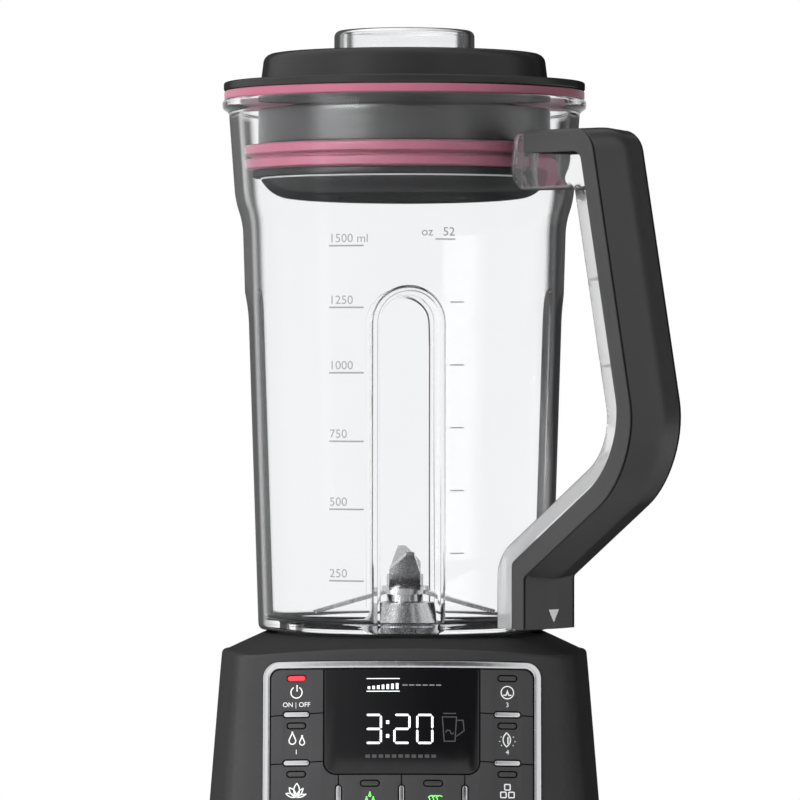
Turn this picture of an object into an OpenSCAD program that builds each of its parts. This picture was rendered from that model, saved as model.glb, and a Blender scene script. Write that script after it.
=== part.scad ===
// Vacuum blender: a motor base with a key panel, a clear jug with a handle, and a sealed lid.
// Sizes are millimetres, the table is z = 0, and the keys face -Y.

/* [Base] */
// Width of the deck between its side walls
base_w = 140; // [138:1:146]
// Depth of the deck between its front and back walls
base_d = 140; // [138:1:146]
// Height of the deck corners above the table
base_h = 165; // [162:1:172]
// Lean of the side walls in degrees
side_lean = 4.7; // [4:0.1:6]
// Lean of the front and back walls in degrees
front_lean = 7; // [6:0.5:8]
// Radius of the bulge of the four walls
wall_bulge = 150; // [145:1:160]
// Radius of the upright corners
base_corner = 20; // [18:1:21]
// Radius of the dome of the deck
deck_dome = 320; // [310:5:360]
// Wall thickness of the housing
base_wall = 3; // [2.6:0.1:3.2]
// Height of the rubber feet
foot_h = 4; // [3:0.5:6]
// Thickness of the base plate
plate_t = 3; // [2.5:0.1:4]

/* [Panel] */
// Outer width of the bright frame
panel_w = 104; // [102:0.5:106]
// Outer height of the bright frame
panel_h = 62.5; // [61:0.5:63]
// Width of the bright frame band
frame_t = 2.7; // [2.4:0.1:3]
// How far the frame stands out of the housing
frame_out = 0.9; // [0.6:0.1:1.4]
// Width of a side key
key_w = 20; // [19:0.5:21]
// Height of a top key
top_row = 17.1; // [16:0.1:18]
// Height of a second key
mid_row = 18; // [17:0.1:19]
// Thickness of a key cap
key_t = 3; // [2.6:0.1:3.2]
// Slope of the joints between the side keys in degrees
key_slope = 3; // [0:0.5:5]
// Travel of a key
key_travel = 0.8; // [0.5:0.1:1]

/* [Jug] */
// Outer radius of the jug wall at its bottom corner
jug_low_r = 57.4; // [56.6:0.2:58]
// Outer radius of the jug wall under the shoulder
jug_top_r = 62.2; // [61.6:0.2:62.8]
// Outer radius of the collar at its foot
collar_r = 65; // [64.8:0.1:65.4]
// Outer radius of the rim lip
rim_r = 70; // [69.6:0.2:71]
// Height of the jug from its underside to the rim
jug_h = 203; // [198:1:210]
// Wall thickness of the jug
jug_wall = 3; // [2.6:0.1:3.2]
// Depth of the four flutes
flute_depth = 3.5; // [2.5:0.1:4]
// Radius of the tool that presses a flute
flute_r = 30; // [28:1:34]
// Outer radius of the foot that stands in the base
foot_r = 50.8; // [50:0.2:51.4]

/* [Handle] */
// Direction of the handle, from the right towards the front
handle_turn = 43.7; // [40:0.1:50]
// Width of the grip
handle_w = 30; // [26:1:34]
// Width of the clear core inside the grip
core_w = 18; // [16:0.5:22]
// Reach of the handle at the top corner, from the jug axis
arm_reach = 109.5; // [108:0.5:112]
// Reach of the knee of the handle, from the jug axis
knee_reach = 134; // [131:0.2:137]
// Height of the knee above the underside of the jug
knee_rise = 63.6; // [60:0.1:67]
// Reach of the flat foot of the handle
heel_reach = 76; // [75:0.5:78]
// Thickness of the dark grip along the run
grip_t = 5.8; // [5:0.1:6.4]
// Thickness of the clear core along the run
core_t = 11.7; // [10:0.1:14]

/* [Lid] */
// Outer radius of the lid flange
flange_r = 69.5; // [69:0.1:70]
// Thickness of the lid flange
flange_t = 3.8; // [2.6:0.1:4.6]
// Outer radius of the lid plug
plug_r = 56.2; // [55.6:0.1:56.6]
// Height of the raised lid middle above the flange
crown_h = 10.5; // [10:0.1:13]
// Outer radius of the filler cap above the lid
cap_r = 27; // [26.6:0.2:29]
// Height of the filler cap above the lid
cap_h = 9; // [5:0.1:10]

/* [Blade] */
// Reach of the blades from the axis
blade_reach = 35; // [30:1:37]
// Thickness of a blade
blade_t = 1.5; // [1.2:0.1:2]
// Radius of the blade shaft
blade_shaft_r = 4; // [3.5:0.1:4.5]

/* [Motor] */
// Outer radius of the stator
stator_r = 40; // [38:1:42]
// Radius of the motor shaft
motor_shaft_r = 5; // [4.5:0.1:5.5]
// Height of the stator stack
stack_h = 46; // [40:1:48]

/* [Fits] */
// Air between a turning or sliding piece and its neighbour
run_gap = 0.4; // [0.35:0.05:0.5]
// Running clearance of a shaft in its bearing
shaft_gap = 0.04; // [0.02:0.01:0.08]
// Gap round a key
key_gap = 0.4; // [0.35:0.05:0.5]
// Fitting gap of the frame in the housing
frame_gap = 0.15; // [0.1:0.05:0.3]

/* [Hidden] */
$fn = 96;

// Heights in the base
plate_top = foot_h + plate_t;
deck_sag = pow(deck_corner(), 2) / (2 * deck_dome);
edge_r = 3;
jug_z = base_h + 7;
rim_z = jug_z + jug_h;
well_floor = jug_z - 31;
seat_floor_t = 3;
mat_t = 1.5;
foot_z = well_floor + mat_t;
seat_r = foot_r + run_gap;
seat_wall = 2.8;
seat_out = seat_r + seat_wall;
hole_r = seat_out + 0.2;
ledge_z = base_h - 10;
seat_under = well_floor - seat_floor_t;
well_gap = 1;
post_at = 44;
post_r = 4.5;

// Heights in the motor, hung under the seat and shared out over the room above the base plate
room = (seat_under - plate_top - stack_h) / 85;
damper_t = 3;
damper_z = seat_under - damper_t;
bracket_z = damper_z - 23 * room;
end_gap = 8 * room;
winding_h = 6.5 * room;
stack_top = bracket_z - end_gap;
stack_low = stack_top - stack_h;
brush_gap = 22 * room;
lower_z = stack_low - brush_gap;
bore_r = stator_r - 14.5;
rotor_r = bore_r - 0.7;
skirt_in = stator_r - 2;
bearing_r = 11;
commutator_r = 13;
damper_at = 34;
fan_r = 33;
fan_h = 10 * room;
fan_z = lower_z - 1.5 * fan_h;
cord_x = -30;
cord_z = 30;
cord_r = 6;

// Panel layout, measured along the leaning front from the panel middle
panel_z = base_h - 32.8;
in_u = panel_w / 2 - frame_t;
in_v = panel_h / 2 - frame_t;
glass_u = in_u - key_w;
row_1 = in_v - top_row;
row_2 = row_1 - mid_row;
glass_v = row_2 - 4.6;
split_u = 23.5;
key_u = in_u - key_w / 2;
rise = key_w / 2 * tan(key_slope);
bar_l = 9.6;
bar_w = 1.9;
lamp_l = 6.7;
lamp_w = 1.85;
carrier_n = -key_t - 1.2;
stem_n = -10.4;
board_n = stem_n - 2;
switch_w = 6;
low_v = (glass_v - in_v) / 2;
// Middle of each key: the three left, the three right, then the two middle ones
KEYS = [[-key_u, row_1 + 4], [-key_u, row_2 + 9], [-key_u + 2, low_v], [key_u, row_1 + 4],
  [key_u, row_2 + 9], [key_u - 2, low_v], [-split_u / 2, low_v], [split_u / 2, low_v]];
// Middle of each indicator slot, in the same order
LAMPS = [[-key_u, in_v - 3.6], [-key_u, row_1 - 4.2], [-key_u, row_2 - 4.2], [key_u, in_v - 3.6],
  [key_u, row_1 - 4.2], [key_u, row_2 - 4.2], [-split_u / 2, glass_v - 3.1], [split_u / 2, glass_v - 3.1]];

// Heights in the jug
collar_low = rim_z - 39;
shoulder_low = collar_low - 8;
collar_top_r = collar_r + 2.5;
collar_wall = 4;
lip_h = 5;
blade_floor = jug_z - 8;
floor_t = 3;
blade_well = 42;
hub_r = 15.8;
seal_z = blade_floor + floor_t;
flange_z = seal_z + 1.2;
boss_z = flange_z + 13.8;
hub_z = blade_floor - 6.4;
sleeve_r = 8;
spacer_z = boss_z + run_gap;
blade_z = spacer_z + 2.8;
cup_top = hub_z - 0.7;
cup_low = foot_z + 0.6;
dog_low = well_floor + 0.8;
dog_top = cup_top - 3.5;

// Heights in the lid
seal_t = 3.4;
flange_low = rim_z + seal_t;
crown_low = flange_low + flange_t;
crown_z = crown_low + crown_h;
crown_r = plug_r - 1.5;
fin_top = rim_z - 17.1;
fin_low = fin_top - 10;
tube_r = cap_r - 1.5;
tube_t = 2.5;
insert_low = fin_low - 11.2;
fin_r = collar_r - collar_wall + (fin_low - collar_low) * 2.5 / (rim_z - lip_h - collar_low) - run_gap;

// Half width and half depth of the housing at a height
function half_w(z) = base_w / 2 + (base_h - z) * tan(side_lean);
function half_d(z) = base_d / 2 + (base_h - z) * tan(front_lean);
// Distance of the deck corner from the axis
function deck_corner() = norm(corner_mid(base_w / 2, base_d / 2)) + base_corner;
// Height of the domed deck at a point
function deck(p) = base_h + deck_sag - (p[0] * p[0] + p[1] * p[1]) / (2 * deck_dome);

// Radius of the upright corners, which grows as the housing widens
function corner_r(a) = base_corner + a - base_w / 2;
// Middle of the corner circle that touches a side arc and a front arc
function corner_mid(a, b) = let(f = [0, b - wall_bulge], s = [a - wall_bulge, 0], d = s - f)
  let(k = wall_bulge - corner_r(a)) (f + s) / 2 + sqrt(k * k - d * d / 4) * [d[1], -d[0]] / norm(d);
// Points on an arc, without the last one
function arc(m, r, from, to, n) = [for (i = [0:n - 1]) let(a = from + (to - from) * i / n)
  m + r * [cos(a), sin(a)]];
// Points of one quarter of the rounded square, from the right wall to the back wall
function quarter(a, b, t) = let(m = corner_mid(a, b), s = [a - wall_bulge, 0], f = [0, b - wall_bulge])
  let(q = atan2(m[1] - s[1], m[0] - s[0]), w = atan2(m[1] - f[1], m[0] - f[0]), r = wall_bulge - t)
  concat(arc(s, r, 0, q, 5), arc(m, corner_r(a) - t, q, w, 6), arc(f, r, w, 90, 5), [[0, b - t]]);
// Outline of the rounded square, drawn in by t
function outline(a, b, t) = let(q = quarter(a, b, t), n = len(q) - 1)
  concat(q, [for (i = [1:n]) [-q[n - i][0], q[n - i][1]]], [for (i = [1:n]) [-q[i][0], -q[i][1]]],
  [for (i = [1:n - 1]) [q[n - i][0], -q[n - i][1]]]);
function turned(p, r) = [for (q = p) r * q / norm(q)];
function raised(p, drop) = [for (q = p) [q[0], q[1], deck(q) - drop]];
function level(p, z) = [for (q = p) [q[0], q[1], z]];

// Rounded rectangle of points
function box_points(w, h, r) = [for (c = [0:3]) for (i = [0:5]) let(a = c * 90 + i * 18)
  [(c == 0 || c == 3 ? 1 : -1) * (w / 2 - r) + r * cos(a), (c < 2 ? 1 : -1) * (h / 2 - r) + r * sin(a)]];

// Path tools for the handle
function unit(v) = v / norm(v);
function inward(a, b) = let(d = unit(b - a)) [d[1], -d[0]];
function meet(p, d, q, e) = p + d * cross(q - p, e) / cross(d, e);
function shifted(p, t) = let(n = len(p) - 1) [for (i = [0:n]) i == 0 ? p[0] + inward(p[0], p[1]) * t[0]
  : i == n ? p[n] + inward(p[n - 1], p[n]) * t[n - 1]
  : meet(p[i] + inward(p[i - 1], p[i]) * t[i - 1], p[i] - p[i - 1], p[i] + inward(p[i], p[i + 1]) * t[i],
  p[i + 1] - p[i])];
function bend(a, b, c, r) = let(d = unit(a - b), e = unit(c - b), h = acos(d * e) / 2)
  let(m = b + unit(d + e) * r / sin(h), s = b + d * r / tan(h) - m, f = b + e * r / tan(h) - m)
  let(g = atan2(s[1], s[0]), w = (atan2(f[1], f[0]) - g + 540) % 360 - 180)
  [for (i = [0:6]) m + r * [cos(g + w * i / 6), sin(g + w * i / 6)]];
function rounded(p, r) = let(n = len(p) - 1)
  concat([p[0]], [for (i = [1:n - 1]) for (q = bend(p[i - 1], p[i], p[i + 1], r[i - 1])) q], [p[n]]);
function reversed(p) = [for (i = [1:len(p)]) p[len(p) - i]];
function widest(p) = max([for (q = p) q[0]]);

// Corners of the outer face of the handle as radius and height
arm_z = rim_z - 14.2;
heel_z = jug_z + 21.9;
arm_start = collar_top_r + 9.5;
handle_run = [[arm_start, arm_z], [arm_reach, arm_z], [knee_reach, jug_z + knee_rise], [heel_reach, heel_z],
  [heel_reach, jug_z + 2.3]];
handle_face = rounded(handle_run, [10, 42, 2]);
grip_line = rounded(shifted(handle_run, [8.4, grip_t, grip_t + 1.6, grip_t - 0.5]), [4, 36, 3]);
core_run = concat([[collar_r - 8, arm_z]], [for (i = [1:4]) handle_run[i]]);
core_run_back = rounded(shifted(core_run, [8.4, grip_t, grip_t + 1.6, grip_t - 0.5]), [4, 36, 3]);
core_end = [[collar_r - 8, arm_z - 0.4], [arm_start - 0.3, arm_z - 0.4], [arm_start - 0.3, arm_z - 8.4]];
core_back = concat(core_end, [for (i = [1:len(core_run_back) - 1]) core_run_back[i]]);
core_depth = [22, grip_t + core_t, grip_t + core_t, heel_reach - jug_low_r + 1];
core_line = rounded(shifted(core_run, core_depth), [8, 24, 16]);

// Place of the jug axis, so that the whole blender is centred over the origin
handle_x = widest(handle_face) * cos(handle_turn) + handle_w / 2 * sin(handle_turn);
handle_y = widest(handle_face) * sin(handle_turn) + handle_w / 2 * cos(handle_turn);
axis_x = (half_w(plate_top) - handle_x) / 2;
axis_y = (handle_y - half_d(plate_top)) / 2;

// Everything is drawn about the jug axis and moved into place here
module place() {
  translate([axis_x, axis_y, 0]) children();
}

// A ring of material from one radius to another
module ring(r_in, r_out, z, h) {
  translate([0, 0, z]) difference() {
    cylinder(r = r_out, h = h);
    translate([0, 0, -1]) cylinder(r = r_in, h = h + 2);
  }
}

// Solid between rings of points that closes on itself
module loop_loft(rings) {
  n = len(rings[0]);
  m = len(rings);
  polyhedron(points = [for (r = rings) for (p = r) p], faces = [for (i = [0:m - 1]) for (j = [0:n - 1])
    for (k = [0:1]) let(a = i * n + j, b = ((i + 1) % m) * n + j, c = ((i + 1) % m) * n + (j + 1) % n)
    k == 0 ? [a, b, c] : [a, c, i * n + (j + 1) % n]]);
}

// Space round the well that the pieces behind the panel keep clear of
module well_space() {
  translate([0, 0, seat_under - well_gap]) cylinder(r = hole_r + 2.3 + well_gap, h = 60);
}

module at_panel() {
  translate([0, -half_d(panel_z), panel_z]) rotate([90 - front_lean, 0, 0]) children();
}

// A piece of the curved panel between two depths, cut to the outline given
module patch(low, high) {
  intersection() {
    translate([0, 0, -wall_bulge]) rotate([90, 0, 0]) difference() {
      cylinder(r = wall_bulge + high, h = 90, center = true);
      cylinder(r = wall_bulge + low, h = 92, center = true);
    }
    translate([0, 0, -30]) linear_extrude(40) children();
  }
}

module glass_outline(g) {
  r = 4.4 + g;
  w = glass_u - key_gap + g;
  h = in_v - glass_v - 2 * key_gap + g;
  translate([0, in_v - key_gap]) polygon(concat([[w, 0], [-w, 0]],
    [for (i = [0:6]) [-w + r - r * cos(i * 15), -h + r - r * sin(i * 15)]],
    [for (i = [0:6]) [w - r + r * sin(i * 15), -h + r - r * cos(i * 15)]]));
}

module bar_outlines(g) {
  for (s = [-1, 1]) {
    translate([s * key_u, row_1]) polygon(box_points(bar_l + 2 * g, bar_w + 2 * g, bar_w / 2 + g - 0.01));
    translate([s * key_u, row_2]) polygon(box_points(bar_l + 2 * g, bar_w + 2 * g, bar_w / 2 + g - 0.01));
  }
  for (s = [-1:1]) {
    translate([s * split_u, low_v]) polygon(box_points(bar_w + 2 * g, bar_l + 2 * g, bar_w / 2 + g - 0.01));
  }
}

module lamp_outline(i, g) {
  translate(LAMPS[i]) polygon(box_points(lamp_l + 2 * g, lamp_w + 2 * g, lamp_w / 2 + g - 0.01));
}

// Side key cell between two row heights, with the sloping joints
module side_cell(s, top, low, inner) {
  g = key_gap / 2;
  polygon([[-s * (in_u + 2), top - rise - g], [-s * inner, top + rise - g], [-s * inner, low + rise + g],
    [-s * (in_u + 2), low - rise + g]]);
}

// Outline of a key by its number
module key_outline(i) {
  side = i < 3 ? 1 : -1;
  row = i % 3;
  difference() {
    intersection() {
      polygon(box_points(2 * in_u - 2 * key_gap, 2 * in_v - 2 * key_gap, 3.5));
      if (i < 6 && row == 0) side_cell(side, in_v + 4, row_1, glass_u);
      if (i < 6 && row == 1) side_cell(side, row_1, row_2, glass_u);
      if (i < 6 && row == 2) side_cell(side, row_2, -in_v - 4, split_u + key_gap / 2);
      if (i > 5) translate([i == 6 ? key_gap / 2 - split_u : key_gap / 2, -in_v - 2])
        square([split_u - key_gap, glass_v + in_v + 2]);
    }
    glass_outline(key_gap);
    bar_outlines(key_gap);
    lamp_outline(i, key_gap);
  }
}

// Fall of the curved panel at a distance from its middle
function fall(u) = wall_bulge - sqrt(wall_bulge * wall_bulge - u * u);

// One push key with the stem that reaches its switch
module key(i) {
  color([0.2, 0.2, 0.21]) place() at_panel() {
    patch(-key_t, 0.15) key_outline(i);
    translate([KEYS[i][0], KEYS[i][1], stem_n]) cylinder(r = 2, h = -stem_n - fall(KEYS[i][0]) - key_t / 2);
  }
}

module start_key() {
  key(0);
}

module blend_key() {
  key(1);
}

module leaf_key() {
  key(2);
}

module pulse_key() {
  key(3);
}

module grind_key() {
  key(4);
}

module ice_key() {
  key(5);
}

module rinse_key() {
  key(6);
}

module warm_key() {
  key(7);
}

module housing() {
  low_w = half_w(plate_top);
  low_d = half_d(plate_top);
  top_w = half_w(base_h);
  top_d = half_d(base_h);
  inner = turned(outline(top_w, top_d, edge_r), hole_r - 2);
  color([0.12, 0.12, 0.125]) place() difference() {
    union() {
      loop_loft([level(outline(low_w, low_d, 0), plate_top),
        raised(outline(half_w(base_h - edge_r), half_d(base_h - edge_r), 0), edge_r),
        raised(outline(top_w, top_d, 0.25), edge_r * 0.6),
        raised(outline(top_w, top_d, 0.3 * edge_r), 0.3 * edge_r),
        raised(outline(top_w, top_d, edge_r), 0),
        raised(inner, 0), raised(inner, base_wall), raised(outline(top_w, top_d, base_wall), base_wall),
        level(outline(low_w, low_d, base_wall), plate_top)]);
      ring(hole_r - 1, hole_r + 2.3, ledge_z, deck([hole_r, 0]) - base_wall / 2 - ledge_z);
      for (x = [-post_at, post_at], y = [-post_at, post_at]) translate([x, y, plate_top])
        cylinder(r = post_r, h = deck([post_at, post_at]) - base_wall / 2 - plate_top);
    }
    translate([0, 0, ledge_z - 5]) cylinder(r = hole_r, h = 60);
    at_panel() patch(-8, 9)
      polygon(box_points(panel_w + 2 * frame_gap, panel_h + 2 * frame_gap, 6 + frame_gap));
    translate([cord_x, 60, cord_z]) rotate([-90, 0, 0]) cylinder(r = cord_r, h = 60);
    for (x = [-post_at, post_at], y = [-post_at, post_at]) translate([x, y, plate_top - 1])
      cylinder(r = 1.5, h = 17);
  }
}

module base_plate() {
  color([0.1, 0.1, 0.1]) place() difference() {
    translate([0, 0, foot_h]) linear_extrude(plate_t)
      polygon(outline(half_w(plate_top), half_d(plate_top), 0));
    for (i = [-3:3]) translate([i * 8 - 1.5, -27, foot_h - 1]) cube([3, 54, plate_t + 2]);
    for (x = [-post_at, post_at], y = [-post_at, post_at]) translate([x, y, foot_h - 1]) {
      cylinder(r = 1.7, h = plate_t + 2);
      cylinder(r = 3.4, h = 2.4);
    }
  }
}

module rubber_feet() {
  mid = corner_mid(half_w(plate_top), half_d(plate_top));
  at = mid + unit(mid) * (corner_r(half_w(plate_top)) - 14);
  color([0.08, 0.08, 0.08]) place() for (x = [-at[0], at[0]], y = [-at[1], at[1]]) translate([x, y, 0])
    rotate_extrude() polygon([[0, 0], [9, 0], [10, 1], [10, foot_h], [0, foot_h]]);
}

module plate_screws() {
  color([0.6, 0.6, 0.62]) place() for (x = [-post_at, post_at], y = [-post_at, post_at])
    translate([x, y, foot_h]) rotate_extrude()
    polygon([[0, 0.2], [3.2, 0.2], [3.2, 1.4], [1.5, 1.4], [1.5, plate_t + 14], [0, plate_t + 14]]);
}

module jug_seat() {
  top = deck([hole_r, 0]) + 0.4;
  color([0.1, 0.1, 0.1]) place() rotate_extrude() polygon([[8.5, seat_under], [seat_out, seat_under],
    [seat_out, ledge_z - 3], [hole_r + 2.3, ledge_z - 3], [hole_r + 2.3, ledge_z], [seat_out, ledge_z],
    [seat_out, top - 0.6], [seat_out - 0.6, top], [seat_r + 0.6, top], [seat_r, top - 0.6],
    [seat_r, well_floor], [8.5, well_floor]]);
}

module seat_mat() {
  color([0.07, 0.07, 0.07]) place() ring(seat_r - 7, seat_r - 0.2, well_floor, mat_t);
}

module shaft_seal() {
  color([0.07, 0.07, 0.07]) place() ring(motor_shaft_r + run_gap, 8.5, seat_under, seat_floor_t);
}

module panel_frame() {
  color([0.8, 0.8, 0.82]) place() at_panel() patch(carrier_n, frame_out) difference() {
    polygon(box_points(panel_w, panel_h, 6));
    polygon(box_points(2 * in_u, 2 * in_v, 3.8));
  }
}

module display_glass() {
  color([0.02, 0.02, 0.03]) place() at_panel() patch(carrier_n, 0.05) glass_outline(0);
}

module display_module() {
  w = glass_u - 4.3;
  color([0.1, 0.12, 0.1]) place() difference() {
    at_panel() translate([-w, glass_v + 5, board_n]) cube([2 * w, in_v - glass_v - 10, -7 - board_n]);
    well_space();
  }
}

module keypad_carrier() {
  color([0.06, 0.06, 0.06]) place() at_panel() {
    difference() {
      patch(carrier_n - 1.4, carrier_n) polygon(box_points(panel_w - 2, panel_h - 2, 5));
      for (k = KEYS) translate([k[0], k[1], -25]) cylinder(r = 2 + run_gap, h = 40);
      for (k = KEYS) translate([k[0] - switch_w / 2 - run_gap, k[1] - switch_w / 2 - run_gap, board_n])
        cube([switch_w + 2 * run_gap, switch_w + 2 * run_gap, stem_n - board_n - key_travel]);
      translate([0, (in_v + glass_v) / 2, -25]) linear_extrude(40)
        polygon(box_points(2 * glass_u - 6, in_v - glass_v - 8, 2));
    }
    for (u = [-30, 30], v = [-23, 19]) translate([u, v, board_n])
      cylinder(r = 2.4, h = carrier_n - 0.7 - fall(30) - board_n);
  }
}

module key_bars() {
  color([0.82, 0.82, 0.84]) place() at_panel() patch(carrier_n, 0.6) bar_outlines(0);
}

module light_guides() {
  color([0.7, 0.7, 0.72]) place() at_panel() for (i = [0:7]) patch(carrier_n, -0.1) lamp_outline(i, 0);
}

module control_board() {
  color([0.08, 0.3, 0.14]) place() difference() {
    at_panel() translate([-42, -26, board_n - 1.6]) cube([84, 48, 1.6]);
    well_space();
  }
}

module key_switches() {
  color([0.15, 0.15, 0.15]) place() at_panel() for (k = KEYS)
    translate([k[0] - switch_w / 2, k[1] - switch_w / 2, board_n])
    cube([switch_w, switch_w, stem_n - board_n - key_travel - 0.2]);
}

module power_board() {
  color([0.08, 0.3, 0.14]) place() translate([-38, 62, plate_top]) {
    cube([76, 1.6, 62]);
    translate([8, -14, 30]) cube([22, 14.5, 18]);
    translate([42, -11, 34]) cube([26, 11.5, 14]);
  }
}

module cord_gland() {
  back = half_d(cord_z) - fall(cord_x);
  color([0.07, 0.07, 0.07]) place() translate([cord_x, back - 12, cord_z]) rotate([-90, 0, 0])
    rotate_extrude() polygon([[3.5, 0], [cord_r + 2.5, 0], [cord_r + 2.5, 4], [cord_r - 0.05, 4],
    [cord_r - 0.05, 13.2], [3.5, 13.2]]);
}

module stator_core() {
  color([0.45, 0.45, 0.47]) place() ring(bore_r, stator_r, stack_low, stack_h);
}

module field_windings() {
  color([0.6, 0.3, 0.12]) place() {
    ring(bore_r + 1.5, skirt_in - 1.5, stack_top, winding_h);
    ring(bore_r + 1.5, skirt_in - 1.5, stack_low - winding_h, winding_h);
  }
}

module upper_bracket() {
  out = stator_r + 2;
  color([0.65, 0.66, 0.68]) place() {
    rotate_extrude() polygon([[bearing_r, bracket_z], [skirt_in, bracket_z], [skirt_in, stack_top],
      [out, stack_top], [out, bracket_z + 4], [15, bracket_z + 4], [15, bracket_z + 7],
      [bearing_r, bracket_z + 7]]);
    for (a = [45:90:315]) rotate([0, 0, a]) translate([damper_at, 0, bracket_z + 3])
      cylinder(r = 5, h = damper_z - bracket_z - 3);
  }
}

module lower_bracket() {
  out = stator_r + 2;
  color([0.65, 0.66, 0.68]) place() rotate_extrude() polygon([[bearing_r, lower_z - 3], [15, lower_z - 3],
    [15, lower_z], [out, lower_z], [out, stack_low], [skirt_in, stack_low], [skirt_in, lower_z + 4],
    [bearing_r, lower_z + 4]]);
}

module motor_bearings() {
  color([0.75, 0.75, 0.77]) place() {
    ring(motor_shaft_r + shaft_gap, bearing_r, bracket_z, 7);
    ring(motor_shaft_r + shaft_gap, bearing_r, lower_z - 3, 7);
  }
}

module brush_holders() {
  reach = sqrt(skirt_in * skirt_in - 16) - 0.05;
  color([0.7, 0.55, 0.2]) place() for (a = [0, 180]) rotate([0, 0, a])
    translate([commutator_r + run_gap, -4, lower_z + 8 * room])
    cube([reach - commutator_r - run_gap, 8, 7 * room]);
}

module motor_dampers() {
  color([0.07, 0.07, 0.07]) place() for (a = [45:90:315]) rotate([0, 0, a])
    translate([damper_at, 0, damper_z]) cylinder(r = 7, h = damper_t);
}

module fan_shroud() {
  color([0.1, 0.1, 0.1]) place() rotate_extrude() polygon([[fan_r + 3, plate_top], [fan_r + 10, plate_top],
    [fan_r + 10, plate_top + 2], [fan_r + 5, plate_top + 2], [fan_r + 5, lower_z - 5],
    [fan_r + 3, lower_z - 5]]);
}

module motor_shaft() {
  color([0.75, 0.75, 0.77]) place() translate([0, 0, fan_z])
    cylinder(r = motor_shaft_r, h = dog_top - 2 - fan_z);
}

module armature() {
  color([0.5, 0.42, 0.35]) place() difference() {
    union() {
      translate([0, 0, stack_low - 1]) cylinder(r = rotor_r, h = stack_h + 2);
      translate([0, 0, stack_low - 4 * room]) cylinder(r = rotor_r - 6, h = stack_h + 9 * room);
    }
    translate([0, 0, stack_low - 10]) cylinder(r = motor_shaft_r, h = stack_h + 30);
    for (a = [0:30:330]) rotate([0, 0, a]) translate([rotor_r - 4, -1, stack_low - 2])
      cube([8, 2, stack_h + 4]);
  }
}

module commutator() {
  color([0.72, 0.45, 0.2]) place() ring(motor_shaft_r, commutator_r, lower_z + 5 * room, 12 * room);
}

module cooling_fan() {
  color([0.15, 0.15, 0.15]) place() difference() {
    union() {
      translate([0, 0, fan_z]) cylinder(r = 9, h = fan_h);
      translate([0, 0, fan_z + fan_h - 2]) cylinder(r = fan_r, h = 2);
      for (a = [0:40:320]) rotate([0, 0, a]) translate([8, -0.9, fan_z]) cube([fan_r - 9, 1.8, fan_h - 1]);
    }
    translate([0, 0, fan_z - 1]) cylinder(r = motor_shaft_r, h = 20);
  }
}

// Six round lobes about a hub, used for both halves of the drive
module lobes(grow, z, h) {
  translate([0, 0, z]) linear_extrude(h) {
    circle(r = 10 + grow);
    for (a = [30:60:330]) rotate([0, 0, a]) translate([11, 0]) circle(r = 3 + grow);
  }
}

module drive_coupling() {
  color([0.2, 0.2, 0.2]) place() difference() {
    lobes(0, dog_low, dog_top - dog_low);
    translate([0, 0, dog_low - 1]) cylinder(r = motor_shaft_r, h = dog_top - 2 - dog_low + 1);
  }
}

// Outer shape of the jug without its hollow
module jug_body() {
  rotate_extrude() polygon([[0, blade_floor], [blade_well + 3, blade_floor], [blade_well + 3, jug_z],
    [jug_low_r - 2, jug_z], [jug_low_r - 0.6, jug_z + 0.6], [jug_low_r, jug_z + 2], [jug_top_r, shoulder_low],
    [collar_r, collar_low], [collar_top_r, rim_z - lip_h], [rim_r, rim_z - lip_h + 1.6], [rim_r, rim_z],
    [0, rim_z]]);
}

// Four upright tools that press the flutes, each with a round end
module flutes(grow) {
  r = flute_r + grow;
  lean = atan((jug_top_r - jug_low_r) / (shoulder_low - jug_z));
  top = shoulder_low - 39 - jug_z;
  for (a = [0:90:270]) rotate([0, 0, a]) translate([jug_low_r + flute_r - flute_depth, 0, jug_z])
    rotate([0, lean, 0]) rotate_extrude()
    polygon(concat([[0, -14], [r, -14]], [for (i = [0:8]) [r * cos(i * 10), top + r * sin(i * 10)]],
    [[0, top + r]]));
}

module jug() {
  color([0.75, 0.77, 0.8, 0.4]) place() difference() {
    jug_body();
    flutes(0);
    difference() {
      rotate_extrude() polygon([[0, seal_z], [blade_well, seal_z], [blade_well, jug_z + 4],
        [jug_low_r - jug_wall - 2, jug_z + 4], [jug_low_r - jug_wall + 0.1, jug_z + 6],
        [jug_top_r - jug_wall, shoulder_low], [collar_r - collar_wall, collar_low],
        [collar_top_r - collar_wall, rim_z - lip_h], [collar_top_r - collar_wall, rim_z + 1],
        [0, rim_z + 1]]);
      flutes(jug_wall);
    }
    translate([0, 0, blade_floor - 1]) cylinder(r = hub_r + 0.2, h = 10);
  }
}

// A plate of the handle shape that stands out from the jug between the front and the right
module handle_plate(w) {
  rotate([0, 0, -handle_turn]) rotate([90, 0, 0]) translate([0, 0, -w / 2]) linear_extrude(w) children();
}

module handle_core() {
  color([0.75, 0.77, 0.8, 0.4]) place() difference() {
    handle_plate(core_w) polygon(concat(core_back, reversed(core_line)));
    jug_body();
  }
}

module grip() {
  color([0.12, 0.12, 0.125]) place() handle_plate(handle_w) polygon(concat(handle_face, reversed(grip_line)));
}

module jug_foot() {
  color([0.1, 0.1, 0.1]) place() rotate_extrude() polygon([[26, blade_floor - 3],
    [foot_r - 3, blade_floor - 3], [foot_r - 3, foot_z], [foot_r, foot_z], [foot_r, jug_z],
    [blade_well + 3.2, jug_z], [blade_well + 3.2, blade_floor], [26, blade_floor]]);
}

module blade_seal() {
  color([0.75, 0.45, 0.53]) place() ring(hub_r + 0.4, 24, seal_z, flange_z - seal_z);
}

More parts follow.
